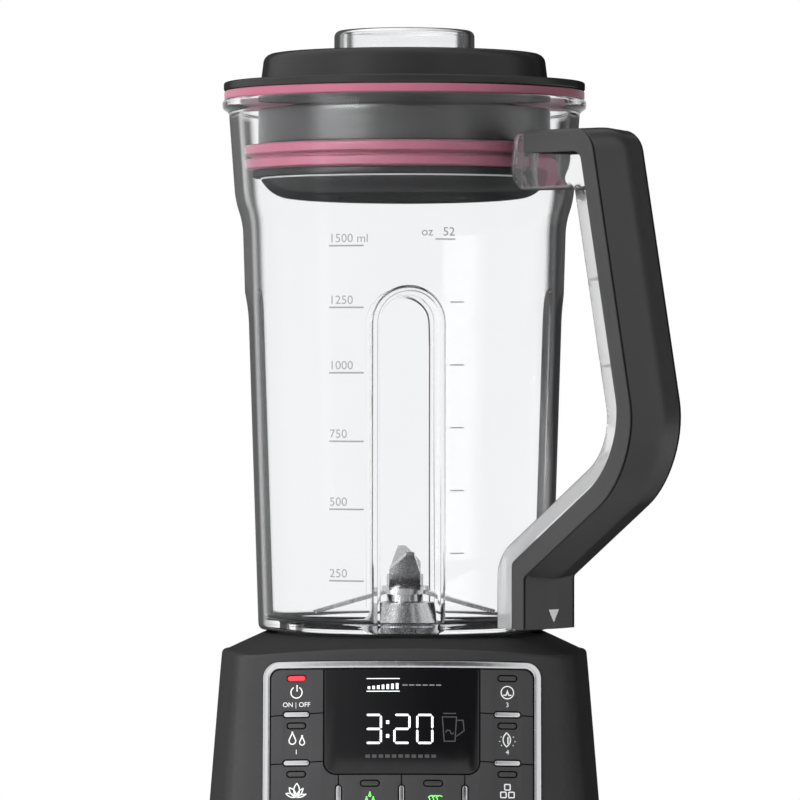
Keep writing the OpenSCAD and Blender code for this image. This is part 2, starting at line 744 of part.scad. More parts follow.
module bearing_housing() {
  color([0.7, 0.7, 0.72]) place() rotate_extrude() polygon([[sleeve_r, hub_z], [hub_r, hub_z],
    [hub_r, flange_z], [24, flange_z], [24, flange_z + 2.4], [16, flange_z + 4.5],
    [11.5, boss_z], [sleeve_r, boss_z]]);
}

module housing_nut() {
  color([0.15, 0.15, 0.15]) place() translate([0, 0, blade_floor - 6]) difference() {
    cylinder(r = 24, h = 6, $fn = 6);
    translate([0, 0, -1]) cylinder(r = hub_r, h = 8);
  }
}

module blade_bearings() {
  color([0.75, 0.75, 0.77]) place() {
    ring(blade_shaft_r + shaft_gap, sleeve_r, hub_z + 0.5, 7);
    ring(blade_shaft_r + shaft_gap, sleeve_r, boss_z - 8, 7.5);
  }
}

module blade_shaft() {
  color([0.78, 0.78, 0.8]) place() translate([0, 0, cup_top - 3])
    cylinder(r = blade_shaft_r, h = blade_z + 2 * blade_t + 5.5 - cup_top + 3);
}

module blade_spacer() {
  color([0.78, 0.78, 0.8]) place() ring(blade_shaft_r, 7, spacer_z, blade_z - spacer_z);
}

// A two-winged blade whose wings bend by the angle given
module two_wings(z, bend_deg) {
  wing = (blade_reach - 8) / cos(bend_deg);
  difference() {
    union() {
      translate([0, 0, z]) cylinder(r = 9.5, h = blade_t);
      for (a = [0, 180]) rotate([0, 0, a]) translate([8, 0, z + (bend_deg > 0 ? 0 : blade_t)])
        rotate([0, -bend_deg, 0]) translate([0, 0, bend_deg > 0 ? 0 : -blade_t]) linear_extrude(blade_t)
        polygon([[0, -6], [wing * 0.6, -5.5], [wing, 1], [wing, 4], [wing * 0.5, 6], [0, 6]]);
    }
    translate([0, 0, z - 10]) cylinder(r = blade_shaft_r, h = 30);
  }
}

module lower_blade() {
  color([0.8, 0.8, 0.82]) place() two_wings(blade_z, -16);
}

module upper_blade() {
  color([0.8, 0.8, 0.82]) place() rotate([0, 0, 90]) two_wings(blade_z + blade_t, 28);
}

module blade_nut() {
  color([0.8, 0.8, 0.82]) place() translate([0, 0, blade_z + 2 * blade_t]) difference() {
    cylinder(r = 7, h = 4.5, $fn = 6);
    translate([0, 0, -1]) cylinder(r = blade_shaft_r, h = 8);
  }
}

module jug_coupling() {
  color([0.2, 0.2, 0.2]) place() difference() {
    translate([0, 0, cup_low]) cylinder(r = 19, h = cup_top - cup_low);
    lobes(run_gap, cup_low - 1, cup_top - 3 - cup_low + 1);
    translate([0, 0, cup_low]) cylinder(r = blade_shaft_r, h = 30);
  }
}

module lid_shell() {
  edge = crown_r - 1.2;
  color([0.14, 0.14, 0.145]) place() rotate_extrude() polygon(concat([[tube_r, insert_low + tube_t],
    [tube_r + tube_t, insert_low + tube_t], [tube_r + tube_t, crown_z - tube_t], [edge - 6, crown_z - tube_t],
    [edge - 3, crown_z - 5.5], [plug_r - 4, crown_low], [plug_r - 2.5, flange_low], [plug_r - 2.5, fin_low],
    [plug_r, fin_low], [plug_r, flange_low], [flange_r, flange_low], [flange_r, crown_low - 0.8],
    [flange_r - 0.8, crown_low], [crown_r, crown_low]],
    [for (i = [0:4]) [edge - 4 + 4 * cos(i * 22.5), crown_z - 4 + 4 * sin(i * 22.5)]], [[tube_r, crown_z]]));
}

module rim_seal() {
  color([0.75, 0.43, 0.53]) place() ring(plug_r, flange_r - 0.2, rim_z, seal_t);
}

module plug_seal() {
  band = plug_r + 1.6;
  color([0.75, 0.43, 0.53]) place() rotate_extrude() polygon([[plug_r, fin_low], [band, fin_low],
    [fin_r, fin_low + 0.6], [fin_r, fin_low + 4], [band, fin_low + 4.6], [band, fin_top - 4.6],
    [fin_r, fin_top - 4], [fin_r, fin_top - 0.6], [band, fin_top], [plug_r, fin_top]]);
}

module lid_insert() {
  color([0.13, 0.13, 0.135]) place() rotate_extrude() polygon([[tube_r, insert_low], [43.5, insert_low],
    [47, insert_low + 0.9], [49.5, insert_low + 2.8], [51.2, insert_low + 5.2], [plug_r - 1.2, fin_low - 4],
    [plug_r - 1.2, fin_low - 3.4], [plug_r - 2, fin_low - 3.4], [plug_r - 2, fin_low - 2.7],
    [plug_r + 2.3, fin_low - 2.7], [plug_r + 2.3, fin_low], [plug_r - 6, fin_low], [plug_r - 6, fin_low - 5],
    [46, insert_low + tube_t], [tube_r, insert_low + tube_t]]);
}

module filler_cap() {
  out = tube_r - 1.2;
  top = crown_z + cap_h;
  low = crown_z - 40;
  color([0.7, 0.72, 0.75, 0.4]) place() rotate_extrude() polygon([[0, low], [out - 1, low], [out, low + 1],
    [out, crown_z], [cap_r, crown_z], [cap_r, top - 1.4], [cap_r - 0.5, top - 0.5], [cap_r - 1.6, top],
    [out - 0.5, top], [out - 2, top - 1.5], [out - 2, low + 2], [0, low + 2]]);
}

module cap_seal() {
  color([0.75, 0.43, 0.53]) place() ring(tube_r - 1.2, tube_r - run_gap, crown_z - 9, 3);
}

housing();
base_plate();
rubber_feet();
plate_screws();
jug_seat();
seat_mat();
shaft_seal();
panel_frame();
display_glass();
display_module();
keypad_carrier();
key_bars();
light_guides();
control_board();
key_switches();
power_board();
cord_gland();
stator_core();
field_windings();
upper_bracket();
lower_bracket();
motor_bearings();
brush_holders();
motor_dampers();
fan_shroud();
motor_shaft();
armature();
commutator();
cooling_fan();
drive_coupling();
start_key();
blend_key();
leaf_key();
pulse_key();
grind_key();
ice_key();
rinse_key();
warm_key();
jug();
handle_core();
grip();
jug_foot();
blade_seal();
bearing_housing();
housing_nut();
blade_bearings();
blade_shaft();
blade_spacer();
lower_blade();
upper_blade();
blade_nut();
jug_coupling();
lid_shell();
rim_seal();
plug_seal();
lid_insert();
filler_cap();
cap_seal();
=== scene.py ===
import math

import bmesh
import bpy
from bpy.props import FloatProperty, FloatVectorProperty, PointerProperty
from mathutils import Matrix, Vector


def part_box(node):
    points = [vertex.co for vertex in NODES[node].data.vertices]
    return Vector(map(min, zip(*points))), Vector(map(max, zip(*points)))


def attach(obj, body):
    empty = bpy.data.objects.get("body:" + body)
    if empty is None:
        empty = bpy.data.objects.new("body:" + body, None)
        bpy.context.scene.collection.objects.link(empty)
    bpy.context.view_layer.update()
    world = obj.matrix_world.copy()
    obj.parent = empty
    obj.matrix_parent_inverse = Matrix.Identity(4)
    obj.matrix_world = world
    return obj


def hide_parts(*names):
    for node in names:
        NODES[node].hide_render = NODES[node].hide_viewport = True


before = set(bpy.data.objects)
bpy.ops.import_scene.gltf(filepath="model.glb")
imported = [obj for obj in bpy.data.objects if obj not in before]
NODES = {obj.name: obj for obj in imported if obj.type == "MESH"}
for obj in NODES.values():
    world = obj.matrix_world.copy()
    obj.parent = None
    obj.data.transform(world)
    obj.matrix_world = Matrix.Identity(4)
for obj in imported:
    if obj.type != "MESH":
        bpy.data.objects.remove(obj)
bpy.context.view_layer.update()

bl_info = {
    "name": "Vacuum blender",
    "version": (1, 0, 0),
    "blender": (4, 5, 0),
    "location": "View3D > Sidebar > Vacuum blender",
    "description": "Dresses the solid parts of a countertop vacuum blender with detailed pieces and finishes",
    "category": "Add Mesh",
}

MM = 0.001
WHITE = (1, 1, 1, 1)

# Turns flat work (across, up, out) so that it stands upright and looks along X
UPRIGHT = Matrix(((0, 0, 1), (1, 0, 0), (0, 1, 0)))


def shaft_axis():
    """Place of the drive axis on the table, from the motor shaft."""
    low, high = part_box("motor_shaft")
    return Vector(((low.x + high.x) / 2, (low.y + high.y) / 2, 0))


AXIS = shaft_axis()


def node_low(node):
    """Lowest height of a solid part in millimetres."""
    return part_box(node)[0].z / MM


def node_high(node):
    """Greatest height of a solid part in millimetres."""
    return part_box(node)[1].z / MM


def size(name, text, millimetres):
    """A length in the sidebar, written here in millimetres."""
    return FloatProperty(name=name, description=text, default=millimetres * MM, unit="LENGTH", precision=5)


def angle(name, text, degrees):
    """An angle in the sidebar, written here in degrees."""
    return FloatProperty(name=name, description=text, default=math.radians(degrees), subtype="ANGLE")


def tint(name, text, colour):
    """A colour in the sidebar."""
    return FloatVectorProperty(name=name, description=text, default=colour, min=0, max=1, subtype="COLOR")


def factor(name, text, value):
    """A plain number in the sidebar."""
    return FloatProperty(name=name, description=text, default=value, min=0)


class BaseSizes(bpy.types.PropertyGroup):
    """Sizes of the motor base."""

    deck_w: size("Deck width", "Width of the deck between its side walls", 140)
    deck_d: size("Deck depth", "Depth of the deck between its front and back walls", 140)
    deck_h: size("Deck height", "Height of the deck corners above the table", 165)
    foot_z: size("Lower edge", "Height of the lower edge of the housing", node_low("housing"))
    side_lean: angle("Side lean", "Lean of the side walls", 4.7)
    front_lean: angle("Front lean", "Lean of the front and back walls", 7)
    bulge: size("Wall bulge", "Radius of the bulge of the four walls", 150)
    corner: size("Corner", "Radius of the upright corners at the deck", 20)
    dome: size("Deck dome", "Radius of the dome of the deck", 320)
    wall: size("Wall", "Thickness of the housing", 3)
    edge: size("Edge", "Radius of the edge round the deck", 1.5)
    fall: size("Fall", "How far the rim of the deck falls off towards the back", 7)
    well_r: size("Well", "Radius of the round hole for the jug seat", 54.2)


class PanelSizes(bpy.types.PropertyGroup):
    """Sizes of the key panel."""

    width: size("Width", "Outer width of the bright frame", 104)
    height: size("Height", "Outer height of the bright frame", 62.5)
    middle: size("Middle", "Height of the panel middle above the table", 132.2)
    band: size("Band", "Width of the bright frame band", 2.7)
    proud: size("Proud", "How far the frame stands out", 0.9)
    key_w: size("Side key", "Width of a side key", 20)
    top_row: size("Top row", "Height of a top key", 17.1)
    mid_row: size("Second row", "Height of a second key", 18)
    gap: size("Gap", "Gap round a key", 0.4)
    slope: angle("Joint slope", "Slope of the joints between the side keys", 3)
    key_edge: size("Key edge", "Rounding of the edges of a key", 0.35)


class JugSizes(bpy.types.PropertyGroup):
    """Sizes of the jug."""

    foot: size("Underside", "Height of the underside of the jug", 172)
    rim: size("Rim", "Height of the rim", node_high("jug"))
    low_r: size("Lower radius", "Outer radius at the bottom corner", 57.4)
    top_r: size("Upper radius", "Outer radius under the shoulder", 62.2)
    collar_r: size("Collar radius", "Outer radius of the collar at its foot", 65)
    rim_r: size("Rim radius", "Outer radius of the rim lip", 70)
    wall: size("Wall", "Thickness of the wall", 3)
    flute_half: size("Flute half width", "Half width of the flat bottom of a flute", 11)
    flute_depth: size("Flute depth", "Depth of the four flutes", 3.5)
    flute_side: angle("Flute side", "Angle of the sides of a flute from square", 20.5)
    flute_turn: angle("Flute turn", "Angle of the front flute from straight ahead", 2.5)


class HandleSizes(bpy.types.PropertyGroup):
    """Sizes of the handle."""

    width: size("Width", "Width of the grip", 30)
    core_w: size("Core width", "Width of the clear core inside the grip", 18)
    arm_z: size("Arm height", "Height of the top of the handle", node_high("grip"))
    arm_start: size("Arm start", "Where the arm of the grip starts, from the drive axis", 77)
    arm_reach: size("Arm reach", "Reach of the top corner, from the drive axis", 109.5)
    knee_reach: size("Knee reach", "Reach of the knee, from the drive axis", 134)
    knee_z: size("Knee height", "Height of the knee", 235.6)
    heel_reach: size("Heel reach", "Reach of the foot of the handle, from the drive axis", 76)
    heel_z: size("Heel height", "Height of the corner above the foot", 193.9)
    foot_z: size("Foot", "Height of the underside of the handle", node_low("grip"))
    grip_t: size("Grip", "Thickness of the dark grip along the run", 5.8)
    core_t: size("Core", "Thickness of the clear core along the run", 11.7)
    crown: size("Crown", "How far the outer face of the grip stands out in its middle", 2.4)
    rib: size("Rib", "Thickness of a cross rib in the clear core", 0.6)
    turn: angle("Turn", "Direction of the handle, from the right towards the front", -43.7)


class LidSizes(bpy.types.PropertyGroup):
    """Sizes of the lid and the filler cap."""

    flange_r: size("Flange", "Outer radius of the flange", 69.5)
    crown_r: size("Crown", "Outer radius of the raised middle", 54.7)
    plug_r: size("Plug", "Outer radius of the plug", 56.2)
    tube_r: size("Tube", "Inner radius of the filler tube", 25.5)
    cap_r: size("Cap", "Outer radius of the filler cap", 27)
    seal_t: size("Rim seal", "Thickness of the seal on the rim", 3.4)
    flange_t: size("Flange thickness", "Thickness of the flange", 3.8)
    crown_h: size("Crown height", "Height of the raised middle above the flange", 10.5)
    fin_drop: size("Plug seal", "Drop from the rim to the top of the plug seal", 17.1)
    fin_h: size("Plug seal height", "Height of the plug seal", 10)
    insert_h: size("Insert", "Height of the insert under the plug seal", 9.8)
    cap_h: size("Cap brim", "Height of the brim of the filler cap", 9)
    cap_deep: size("Cap depth", "Depth of the filler cap under its brim", 40)


class StageSizes(bpy.types.PropertyGroup):
    """Camera, floor and light."""

    distance: size("Distance", "Distance of the camera from the drive axis", 2100)
    eye: size("Eye height", "Height of the camera above the table", 275)
    orbit: angle("Orbit", "How far the camera stands round to the right", 0.85)
    aside: size("Aside", "How far the camera stands left of the drive axis", 1.7)
    lens: factor("Lens", "Focal length on a 36 mm sensor, in millimetres", 245.5)
    fall: factor("Fall", "Downward shift of the picture, as a share of its width", 0.0497)
    floor_r: size("Floor", "Radius of the floor", 4000)
    sky: factor("Sky", "Brightness of the surroundings on matt surfaces", 0.22)
    key: factor("Key lamp", "Strength of the large lamp at the front left in watts", 34)
    left: factor("Left lamp", "Strength of the upright lamp on the left in watts", 3)
    right: factor("Right lamp", "Strength of the upright lamp on the right in watts", 0.5)
    top: factor("Top lamp", "Strength of the lamp overhead in watts", 6)


class Finishes(bpy.types.PropertyGroup):
    """Colours of the finishes."""

    housing: tint("Housing", "Satin black plastic of the base and the grip", (0.042, 0.042, 0.043))
    keys: tint("Keys", "Fine matt plastic of the keys", (0.058, 0.058, 0.060))
    inner: tint("Inner black", "Plain black plastic", (0.012, 0.012, 0.013))
    lid: tint("Lid", "Dark grey plastic of the lid", (0.028, 0.028, 0.029))
    trim: tint("Bright trim", "Satin chrome of the frame and the bars", (0.80, 0.80, 0.82))
    window: tint("Window", "Gloss black of the display", (0.004, 0.004, 0.005))
    clear: tint("Clear jug", "Clear, slightly smoky plastic", (0.955, 0.96, 0.965))
    seal: tint("Seal", "Rose silicone of the seals", (0.42, 0.13, 0.20))
    rubber: tint("Rubber", "Black rubber", (0.016, 0.016, 0.016))
    steel: tint("Steel", "Brushed stainless steel", (0.62, 0.62, 0.63))
    cast: tint("Cast metal", "Cast aluminium", (0.55, 0.56, 0.57))
    core: tint("Core steel", "Laminated steel", (0.24, 0.24, 0.26))
    copper: tint("Copper", "Enamelled copper wire", (0.50, 0.22, 0.08))
    board: tint("Board", "Glass-fibre circuit board", (0.015, 0.10, 0.04))
    print: tint("Print", "White print", (0.86, 0.86, 0.86))
    guide: tint("Light guide", "Unlit light guide", (0.05, 0.05, 0.052))
    red: tint("Lit red", "Light of the lit guide", (0.90, 0.045, 0.06))
    green: tint("Lit green", "Light of the green symbols", (0.20, 0.78, 0.16))


class BlenderSettings(bpy.types.PropertyGroup):
    """All sizes and colours of the vacuum blender."""

    base: PointerProperty(type=BaseSizes)
    panel: PointerProperty(type=PanelSizes)
    jug: PointerProperty(type=JugSizes)
    handle: PointerProperty(type=HandleSizes)
    lid: PointerProperty(type=LidSizes)
    stage: PointerProperty(type=StageSizes)
    finish: PointerProperty(type=Finishes)


def settings():
    """The settings of the scene that is being built."""
    return bpy.context.scene.vacuum_blender


def mm(length):
    """A length of the sidebar in millimetres, in which the meshes are drawn."""
    return length / MM


# Finishes


class Tree:
    """A node tree with a short way to add to it."""

    def __init__(self, tree):
        self.nodes, self.links = tree.nodes, tree.links

    def feed(self, node, inputs):
        """Sets inputs of a node to values, or links them to outputs of other nodes."""
        for name, value in inputs.items():
            if isinstance(value, bpy.types.NodeSocket):
                self.links.new(value, node.inputs[name])
            else:
                node.inputs[name].default_value = value

    def add(self, kind, inputs=None, **options):
        """A new node with its options and its inputs."""
        node = self.nodes.new("ShaderNode" + kind)
        for name, value in options.items():
            setattr(node, name, value)
        self.feed(node, inputs or {})
        return node

    def combine(self, operation, a, b):
        """Two values joined by plain arithmetic."""
        return self.add("Math", {0: a, 1: b}, operation=operation).outputs["Value"]

    def level(self, fac, start, end, low, high, way="LINEAR"):
        """A value moved from one range to another."""
        limits = {"Value": fac, "From Min": start, "From Max": end, "To Min": low, "To Max": high}
        return self.add("MapRange", limits, interpolation_type=way).outputs["Result"]

    def ramp(self, fac, start, end, low, high):
        """A soft step of a value from one level to another."""
        return self.level(fac, start, end, low, high, "SMOOTHSTEP")

    def mix(self, fac, a, b):
        """A colour between two others."""
        return self.add("Mix", {"Factor": fac, "A": a, "B": b}, data_type="RGBA").outputs["Result"]


class Recipe(Tree):
    """A material with its nodes at hand, on Object coordinates."""

    def __init__(self, name):
        self.material = bpy.data.materials.new(name)
        self.material.use_nodes = True
        super().__init__(self.material.node_tree)
        self.shader = self.nodes["Principled BSDF"]
        self.place = self.add("TexCoord").outputs["Object"]

    def set(self, **inputs):
        """Sets or links inputs of the shader, with _ for the blanks in their names."""
        self.feed(self.shader, {name.replace("_", " "): value for name, value in inputs.items()})

    def noise(self, scale, detail=2.0, stretch=None):
        """Noise at a scale per metre, drawn out along an axis if asked."""
        place = self.place
        if stretch:
            place = self.add("Mapping", {"Vector": place, "Scale": stretch}).outputs["Vector"]
        return self.add("TexNoise", {"Vector": place, "Scale": scale, "Detail": detail}).outputs["Fac"]

    def facing(self):
        """How far the surface turns away from the eye."""
        return self.add("LayerWeight", {"Blend": 0.5}).outputs["Facing"]

    def height(self):
        """Height above the table in metres."""
        return self.add("SeparateXYZ", {"Vector": self.place}).outputs["Z"]

    def shades(self, fac, dark, light):
        """Lets a pattern move the colour between two shades."""
        self.set(Base_Color=self.mix(fac, (*dark, 1), (*light, 1)))

    def roughness(self, fac, low, high):
        """Lets a pattern move the roughness between two limits."""
        self.set(Roughness=self.level(fac, 0.3, 0.7, low, high))

    def bump(self, fac, strength, depth):
        """Raises a pattern on the surface by a depth in millimetres."""
        raised = self.add("Bump", {"Strength": strength, "Distance": depth * MM, "Height": fac})
        self.set(Normal=raised.outputs["Normal"])

    def overlay(self, fac, other):
        """Mixes another shader into the surface."""
        both = self.add("MixShader", {"Fac": fac, 1: self.shader.outputs["BSDF"], 2: other})
        self.feed(self.nodes["Material Output"], {"Surface": both.outputs["Shader"]})


def scaled(colour, share):
    """A colour made lighter or darker."""
    return [min(1.0, c * share) for c in colour]


def moulded_plastic(name, colour, rough, grain=0.35, depth=0.02, specular=0.5, gloss_band=None):
    """Moulded plastic with a fine grain, its gloss fading where it is seen along the surface."""
    recipe = Recipe(name)
    recipe.set(Specular_IOR_Level=specular)
    gloss = recipe.ramp(recipe.facing(), 0.3, 0.75, specular, 0)
    if gloss_band:
        low, high = gloss_band
        above = recipe.ramp(recipe.height(), low, low + MM, 0, 1)
        below = recipe.ramp(recipe.height(), high - MM, high, 1, 0)
        gloss = recipe.combine("MAXIMUM", gloss, recipe.combine("MULTIPLY", above, below))
    recipe.set(Specular_IOR_Level=gloss)
    recipe.shades(recipe.noise(45, 3), scaled(colour, 0.88), scaled(colour, 1.12))
    recipe.roughness(recipe.noise(320, 3), rough - 0.05, rough + 0.05)
    recipe.bump(recipe.noise(1 / (grain * MM), 2), 0.35, depth)
    return recipe.material


def bright_metal(name, colour, rough, stretch=(1, 1, 1), scale=600):
    """Polished or brushed metal with fine drawn lines."""
    recipe = Recipe(name)
    recipe.set(Metallic=1.0)
    lines = recipe.noise(scale, 3, stretch)
    recipe.shades(lines, scaled(colour, 0.93), scaled(colour, 1.05))
    recipe.roughness(lines, rough - 0.05, rough + 0.06)
    recipe.bump(lines, 0.12, 0.01)
    return recipe.material


def soft_silicone(name, colour, rough):
    """Soft moulded rubber with a dusty sheen."""
    recipe = Recipe(name)
    recipe.set(Sheen_Weight=0.15, Sheen_Roughness=0.5, Specular_IOR_Level=0.35)
    recipe.shades(recipe.noise(90, 3), scaled(colour, 0.9), scaled(colour, 1.1))
    recipe.roughness(recipe.noise(500, 2), rough - 0.06, rough + 0.06)
    recipe.bump(recipe.noise(2200, 2), 0.2, 0.02)
    return recipe.material


def gloss_window(name, colour):
    """Gloss black window with the faintest ripple."""
    recipe = Recipe(name)
    recipe.set(Specular_IOR_Level=0.5)
    recipe.shades(recipe.noise(30, 2), scaled(colour, 0.8), scaled(colour, 1.2))
    recipe.roughness(recipe.noise(200, 2), 0.10, 0.14)
    recipe.bump(recipe.noise(60, 1), 0.02, 0.05)
    return recipe.material


def clear_plastic(name, colour, edge, haze, edge_from, edge_to, rough=0.02, clear_from=None, dark_from=None,
                  haze_to=1.0):
    """Clear plastic with a light haze and painted shade, dark where it is seen along its wall, changed at
    some heights.
    """
    recipe = Recipe(name)
    recipe.set(Transmission_Weight=1.0, IOR=1.14, Specular_IOR_Level=0.3)
    recipe.shades(recipe.noise(25, 1), scaled(colour, 0.985), colour)
    recipe.roughness(recipe.noise(40, 2), rough, rough + 0.03)
    recipe.bump(recipe.noise(35, 1), 0.05, 0.3)
    height = recipe.height()
    # Painted shade: the colour turns dark where the wall is seen along its surface, in place of dark
    # surroundings seen through the edge
    along = recipe.ramp(recipe.facing(), edge_from, edge_to, 0, 0.95)
    painted_edge_shade = recipe.mix(along, (0.82, 0.82, 0.83, 1), (*edge, 1))
    # This shader carries the painted edge shade and the light haze
    smoky = recipe.add("BsdfPrincipled", {"Base Color": painted_edge_shade, "Roughness": 0.4, "Specular IOR Level": 0})
    if clear_from:
        clearer = recipe.ramp(height, clear_from - 4 * MM, clear_from, 1, 0.2)
        along = recipe.combine("MULTIPLY", along, clearer)
    if dark_from:
        darker = recipe.ramp(height, dark_from, dark_from + MM / 2, 0, 0.9)
        along = recipe.combine("MAXIMUM", along, darker)
    hazy = recipe.ramp(height, haze_to - 8 * MM, haze_to, haze, 0.03)
    recipe.overlay(recipe.combine("MAXIMUM", along, hazy), smoky.outputs["BSDF"])
    return recipe.material


def lit_print(name, colour, glow, rough=0.4):
    """Print or segments with a glow, a little uneven: the light of lit segments and guides, and a faint
    painted glow on plain print.
    """
    recipe = Recipe(name)
    recipe.shades(recipe.noise(300, 2), scaled(colour, 0.92), scaled(colour, 1.05))
    recipe.roughness(recipe.noise(700, 2), rough - 0.05, rough + 0.05)
    recipe.set(Emission_Color=(*colour, 1), Emission_Strength=glow)
    return recipe.material


def laminated_steel(name, colour):
    """A stack of thin steel sheets, seen as fine level lines."""
    recipe = Recipe(name)
    recipe.set(Metallic=0.9)
    lines = recipe.noise(120, 1, (0.02, 0.02, 14))
    recipe.shades(lines, scaled(colour, 0.7), scaled(colour, 1.2))
    recipe.roughness(lines, 0.4, 0.6)
    recipe.bump(lines, 0.4, 0.1)
    return recipe.material


FINISH = {}


def mix_finishes():
    """Makes every finish once, from the colours in the sidebar."""
    c = settings().finish
    rim = settings().jug.rim
    plug_wall = (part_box("plug_seal")[1].z, rim)
    cap_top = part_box("filler_cap")[1].z

    def mix(make, name, *values, **heights):
        """Makes a finish and keeps it under its name."""
        FINISH[name] = make(name, *values, **heights)

    mix(moulded_plastic, "housing_black", c.housing, 0.45, 0.45, 0.005, 0.25)
    mix(moulded_plastic, "grip_black", scaled(c.housing, 1.1), 0.34, 0.4, 0.004, 0.4)
    mix(moulded_plastic, "key_grey", c.keys, 0.5, 0.3, 0.008, 0.2)
    mix(moulded_plastic, "inner_black", c.inner, 0.45)
    mix(moulded_plastic, "lid_grey", c.lid, 0.34, 0.4, 0.003, 0.25, plug_wall)
    mix(bright_metal, "bright_trim", c.trim, 0.22, (1, 1, 1), 300)
    mix(gloss_window, "display_black", c.window)
    # The second colour of each clear finish is the painted shade at its edges
    mix(clear_plastic, "clear_jug", c.clear, (0.045, 0.045, 0.047), 0.005, 0.58, 0.7,
        clear_from=rim - 4 * MM)
    mix(clear_plastic, "clear_handle", scaled(c.clear, 0.94), (0.05, 0.05, 0.052), 0.36, 0.55, 0.8, 0.05,
        haze_to=rim - 36 * MM)
    # The clear cross ribs are drawn in dark plastic: painted shade for the dark lines that thin clear walls
    # show
    mix(moulded_plastic, "smoky_rib", (0.06, 0.06, 0.062), 0.35)
    mix(clear_plastic, "clear_cap", c.clear, (0.02, 0.02, 0.021), 0.05, 0.45, 0.65,
        dark_from=cap_top - 1.6 * MM)
    mix(soft_silicone, "rose_seal", c.seal, 0.45)
    mix(soft_silicone, "black_rubber", c.rubber, 0.7)
    mix(bright_metal, "steel", c.steel, 0.24, (1, 1, 0.05), 1500)
    mix(bright_metal, "cast_metal", c.cast, 0.45, (1, 1, 1), 700)
    mix(laminated_steel, "core_steel", c.core)
    mix(bright_metal, "copper_wire", c.copper, 0.35, (0.05, 0.05, 1), 1800)
    mix(moulded_plastic, "board_green", c.board, 0.4, 1.2, 0.03)
    mix(lit_print, "light_guide", c.guide, 0.0, 0.3)
    mix(lit_print, "lit_red", c.red, 0.55, 0.3)
    # Plain white print with a faint painted glow, though nothing lights it from behind
    mix(lit_print, "white_print", c.print, 0.12, 0.5)
    mix(lit_print, "lit_white", c.print, 0.9, 0.4)
    mix(lit_print, "dim_print", (0.07, 0.07, 0.075), 0.15, 0.4)
    # The white volume marks are drawn mid grey: painted shade, so that they show against the white
    mix(lit_print, "scale_print", (0.30, 0.30, 0.31), 0.0, 0.5)
    mix(lit_print, "grey_print", (0.24, 0.24, 0.25), 0.05, 0.4)
    mix(lit_print, "lit_green", c.green, 0.6, 0.4)


# Mesh tools


def verts_of(geom):
    """The points among what a mesh operator has made."""
    return [g for g in geom if isinstance(g, bmesh.types.BMVert)]


def closed_line(bm, points):
    """Joins a few points, given as radius and height, into a closed line."""
    verts = [bm.verts.new((r, 0, z)) for r, z in points]
    for a, b in zip(verts, verts[1:] + verts[:1]):
        bm.edges.new((a, b))
    return verts


def round_off(bm, verts, radius, steps=5):
    """Rounds the given corners of a line or a flat face."""
    bmesh.ops.bevel(bm, geom=verts, offset=radius, offset_type="OFFSET", segments=steps, profile=0.5,
                    affect="VERTICES", material=-1, clamp_overlap=True)


def above(level):
    """A test for edges that lie above a level."""
    return lambda edge: all(v.co.z > level for v in edge.verts)


def soften(bm, width, limit=40, steps=2, only=None):
    """Rounds the sharp edges of a solid, or those that a test picks."""
    sharp = [e for e in bm.edges if e.calc_face_angle(0) > math.radians(limit) and (only is None or only(e))]
    bmesh.ops.bevel(bm, geom=sharp, offset=width, offset_type="OFFSET", segments=steps, profile=0.5,
                    affect="EDGES", material=-1, clamp_overlap=True)


def tidy(bm):
    """Joins doubled points and turns every face outwards."""
    bmesh.ops.remove_doubles(bm, verts=bm.verts, dist=1e-4)
    bmesh.ops.recalc_face_normals(bm, faces=bm.faces)


def lathe(corners, steps=192):
    """A turned solid from its closed section: radius, height and rounding of each corner."""
    bm = bmesh.new()
    verts = closed_line(bm, [(r, z) for r, z, _ in corners])
    by_radius = {}
    for vert, (_, _, rounding) in zip(verts, corners):
        if rounding:
            by_radius.setdefault(rounding, []).append(vert)
    for rounding, group in by_radius.items():
        round_off(bm, group, rounding)
    bmesh.ops.spin(bm, geom=bm.verts[:] + bm.edges[:], cent=(0, 0, 0), axis=(0, 0, 1), angle=2 * math.pi,
                   steps=steps, use_merge=True)
    tidy(bm)
    return bm


def join(parts):
    """Puts several meshes into the first one."""
    first = parts[0]
    for part in parts[1:]:
        mesh = bpy.data.meshes.new("part")
        part.to_mesh(mesh)
        part.free()
        first.from_mesh(mesh)
        bpy.data.meshes.remove(mesh)
    return first


def loose_object(bm, name):
    """A passing object that holds a mesh while it is cut."""
    mesh = bpy.data.meshes.new(name)
    bm.to_mesh(mesh)
    bm.free()
    obj = bpy.data.objects.new(name, mesh)
    bpy.context.scene.collection.objects.link(obj)
    return obj


def drop(obj):
    """Deletes a passing object and its mesh."""
    mesh = obj.data
    bpy.data.objects.remove(obj)
    bpy.data.meshes.remove(mesh)


def shown_mesh(obj):
    """The mesh of an object as it is shown, with its modifiers."""
    graph = bpy.context.evaluated_depsgraph_get()
    evaluated = obj.evaluated_get(graph)
    bm = bmesh.new()
    bm.from_mesh(evaluated.to_mesh())
    evaluated.to_mesh_clear()
    return bm


def carve(bm, tools):
    """Cuts other solids out of a solid and returns what is left."""
    block = loose_object(bm, "block")
    cutters = [loose_object(tool, "cutter") for tool in tools]
    for cutter in cutters:
        modifier = block.modifiers.new("cut", "BOOLEAN")
        modifier.operation = "DIFFERENCE"
        modifier.solver = "EXACT"
        modifier.object = cutter
    result = shown_mesh(block)
    for obj in [block] + cutters:
        drop(obj)
    return result


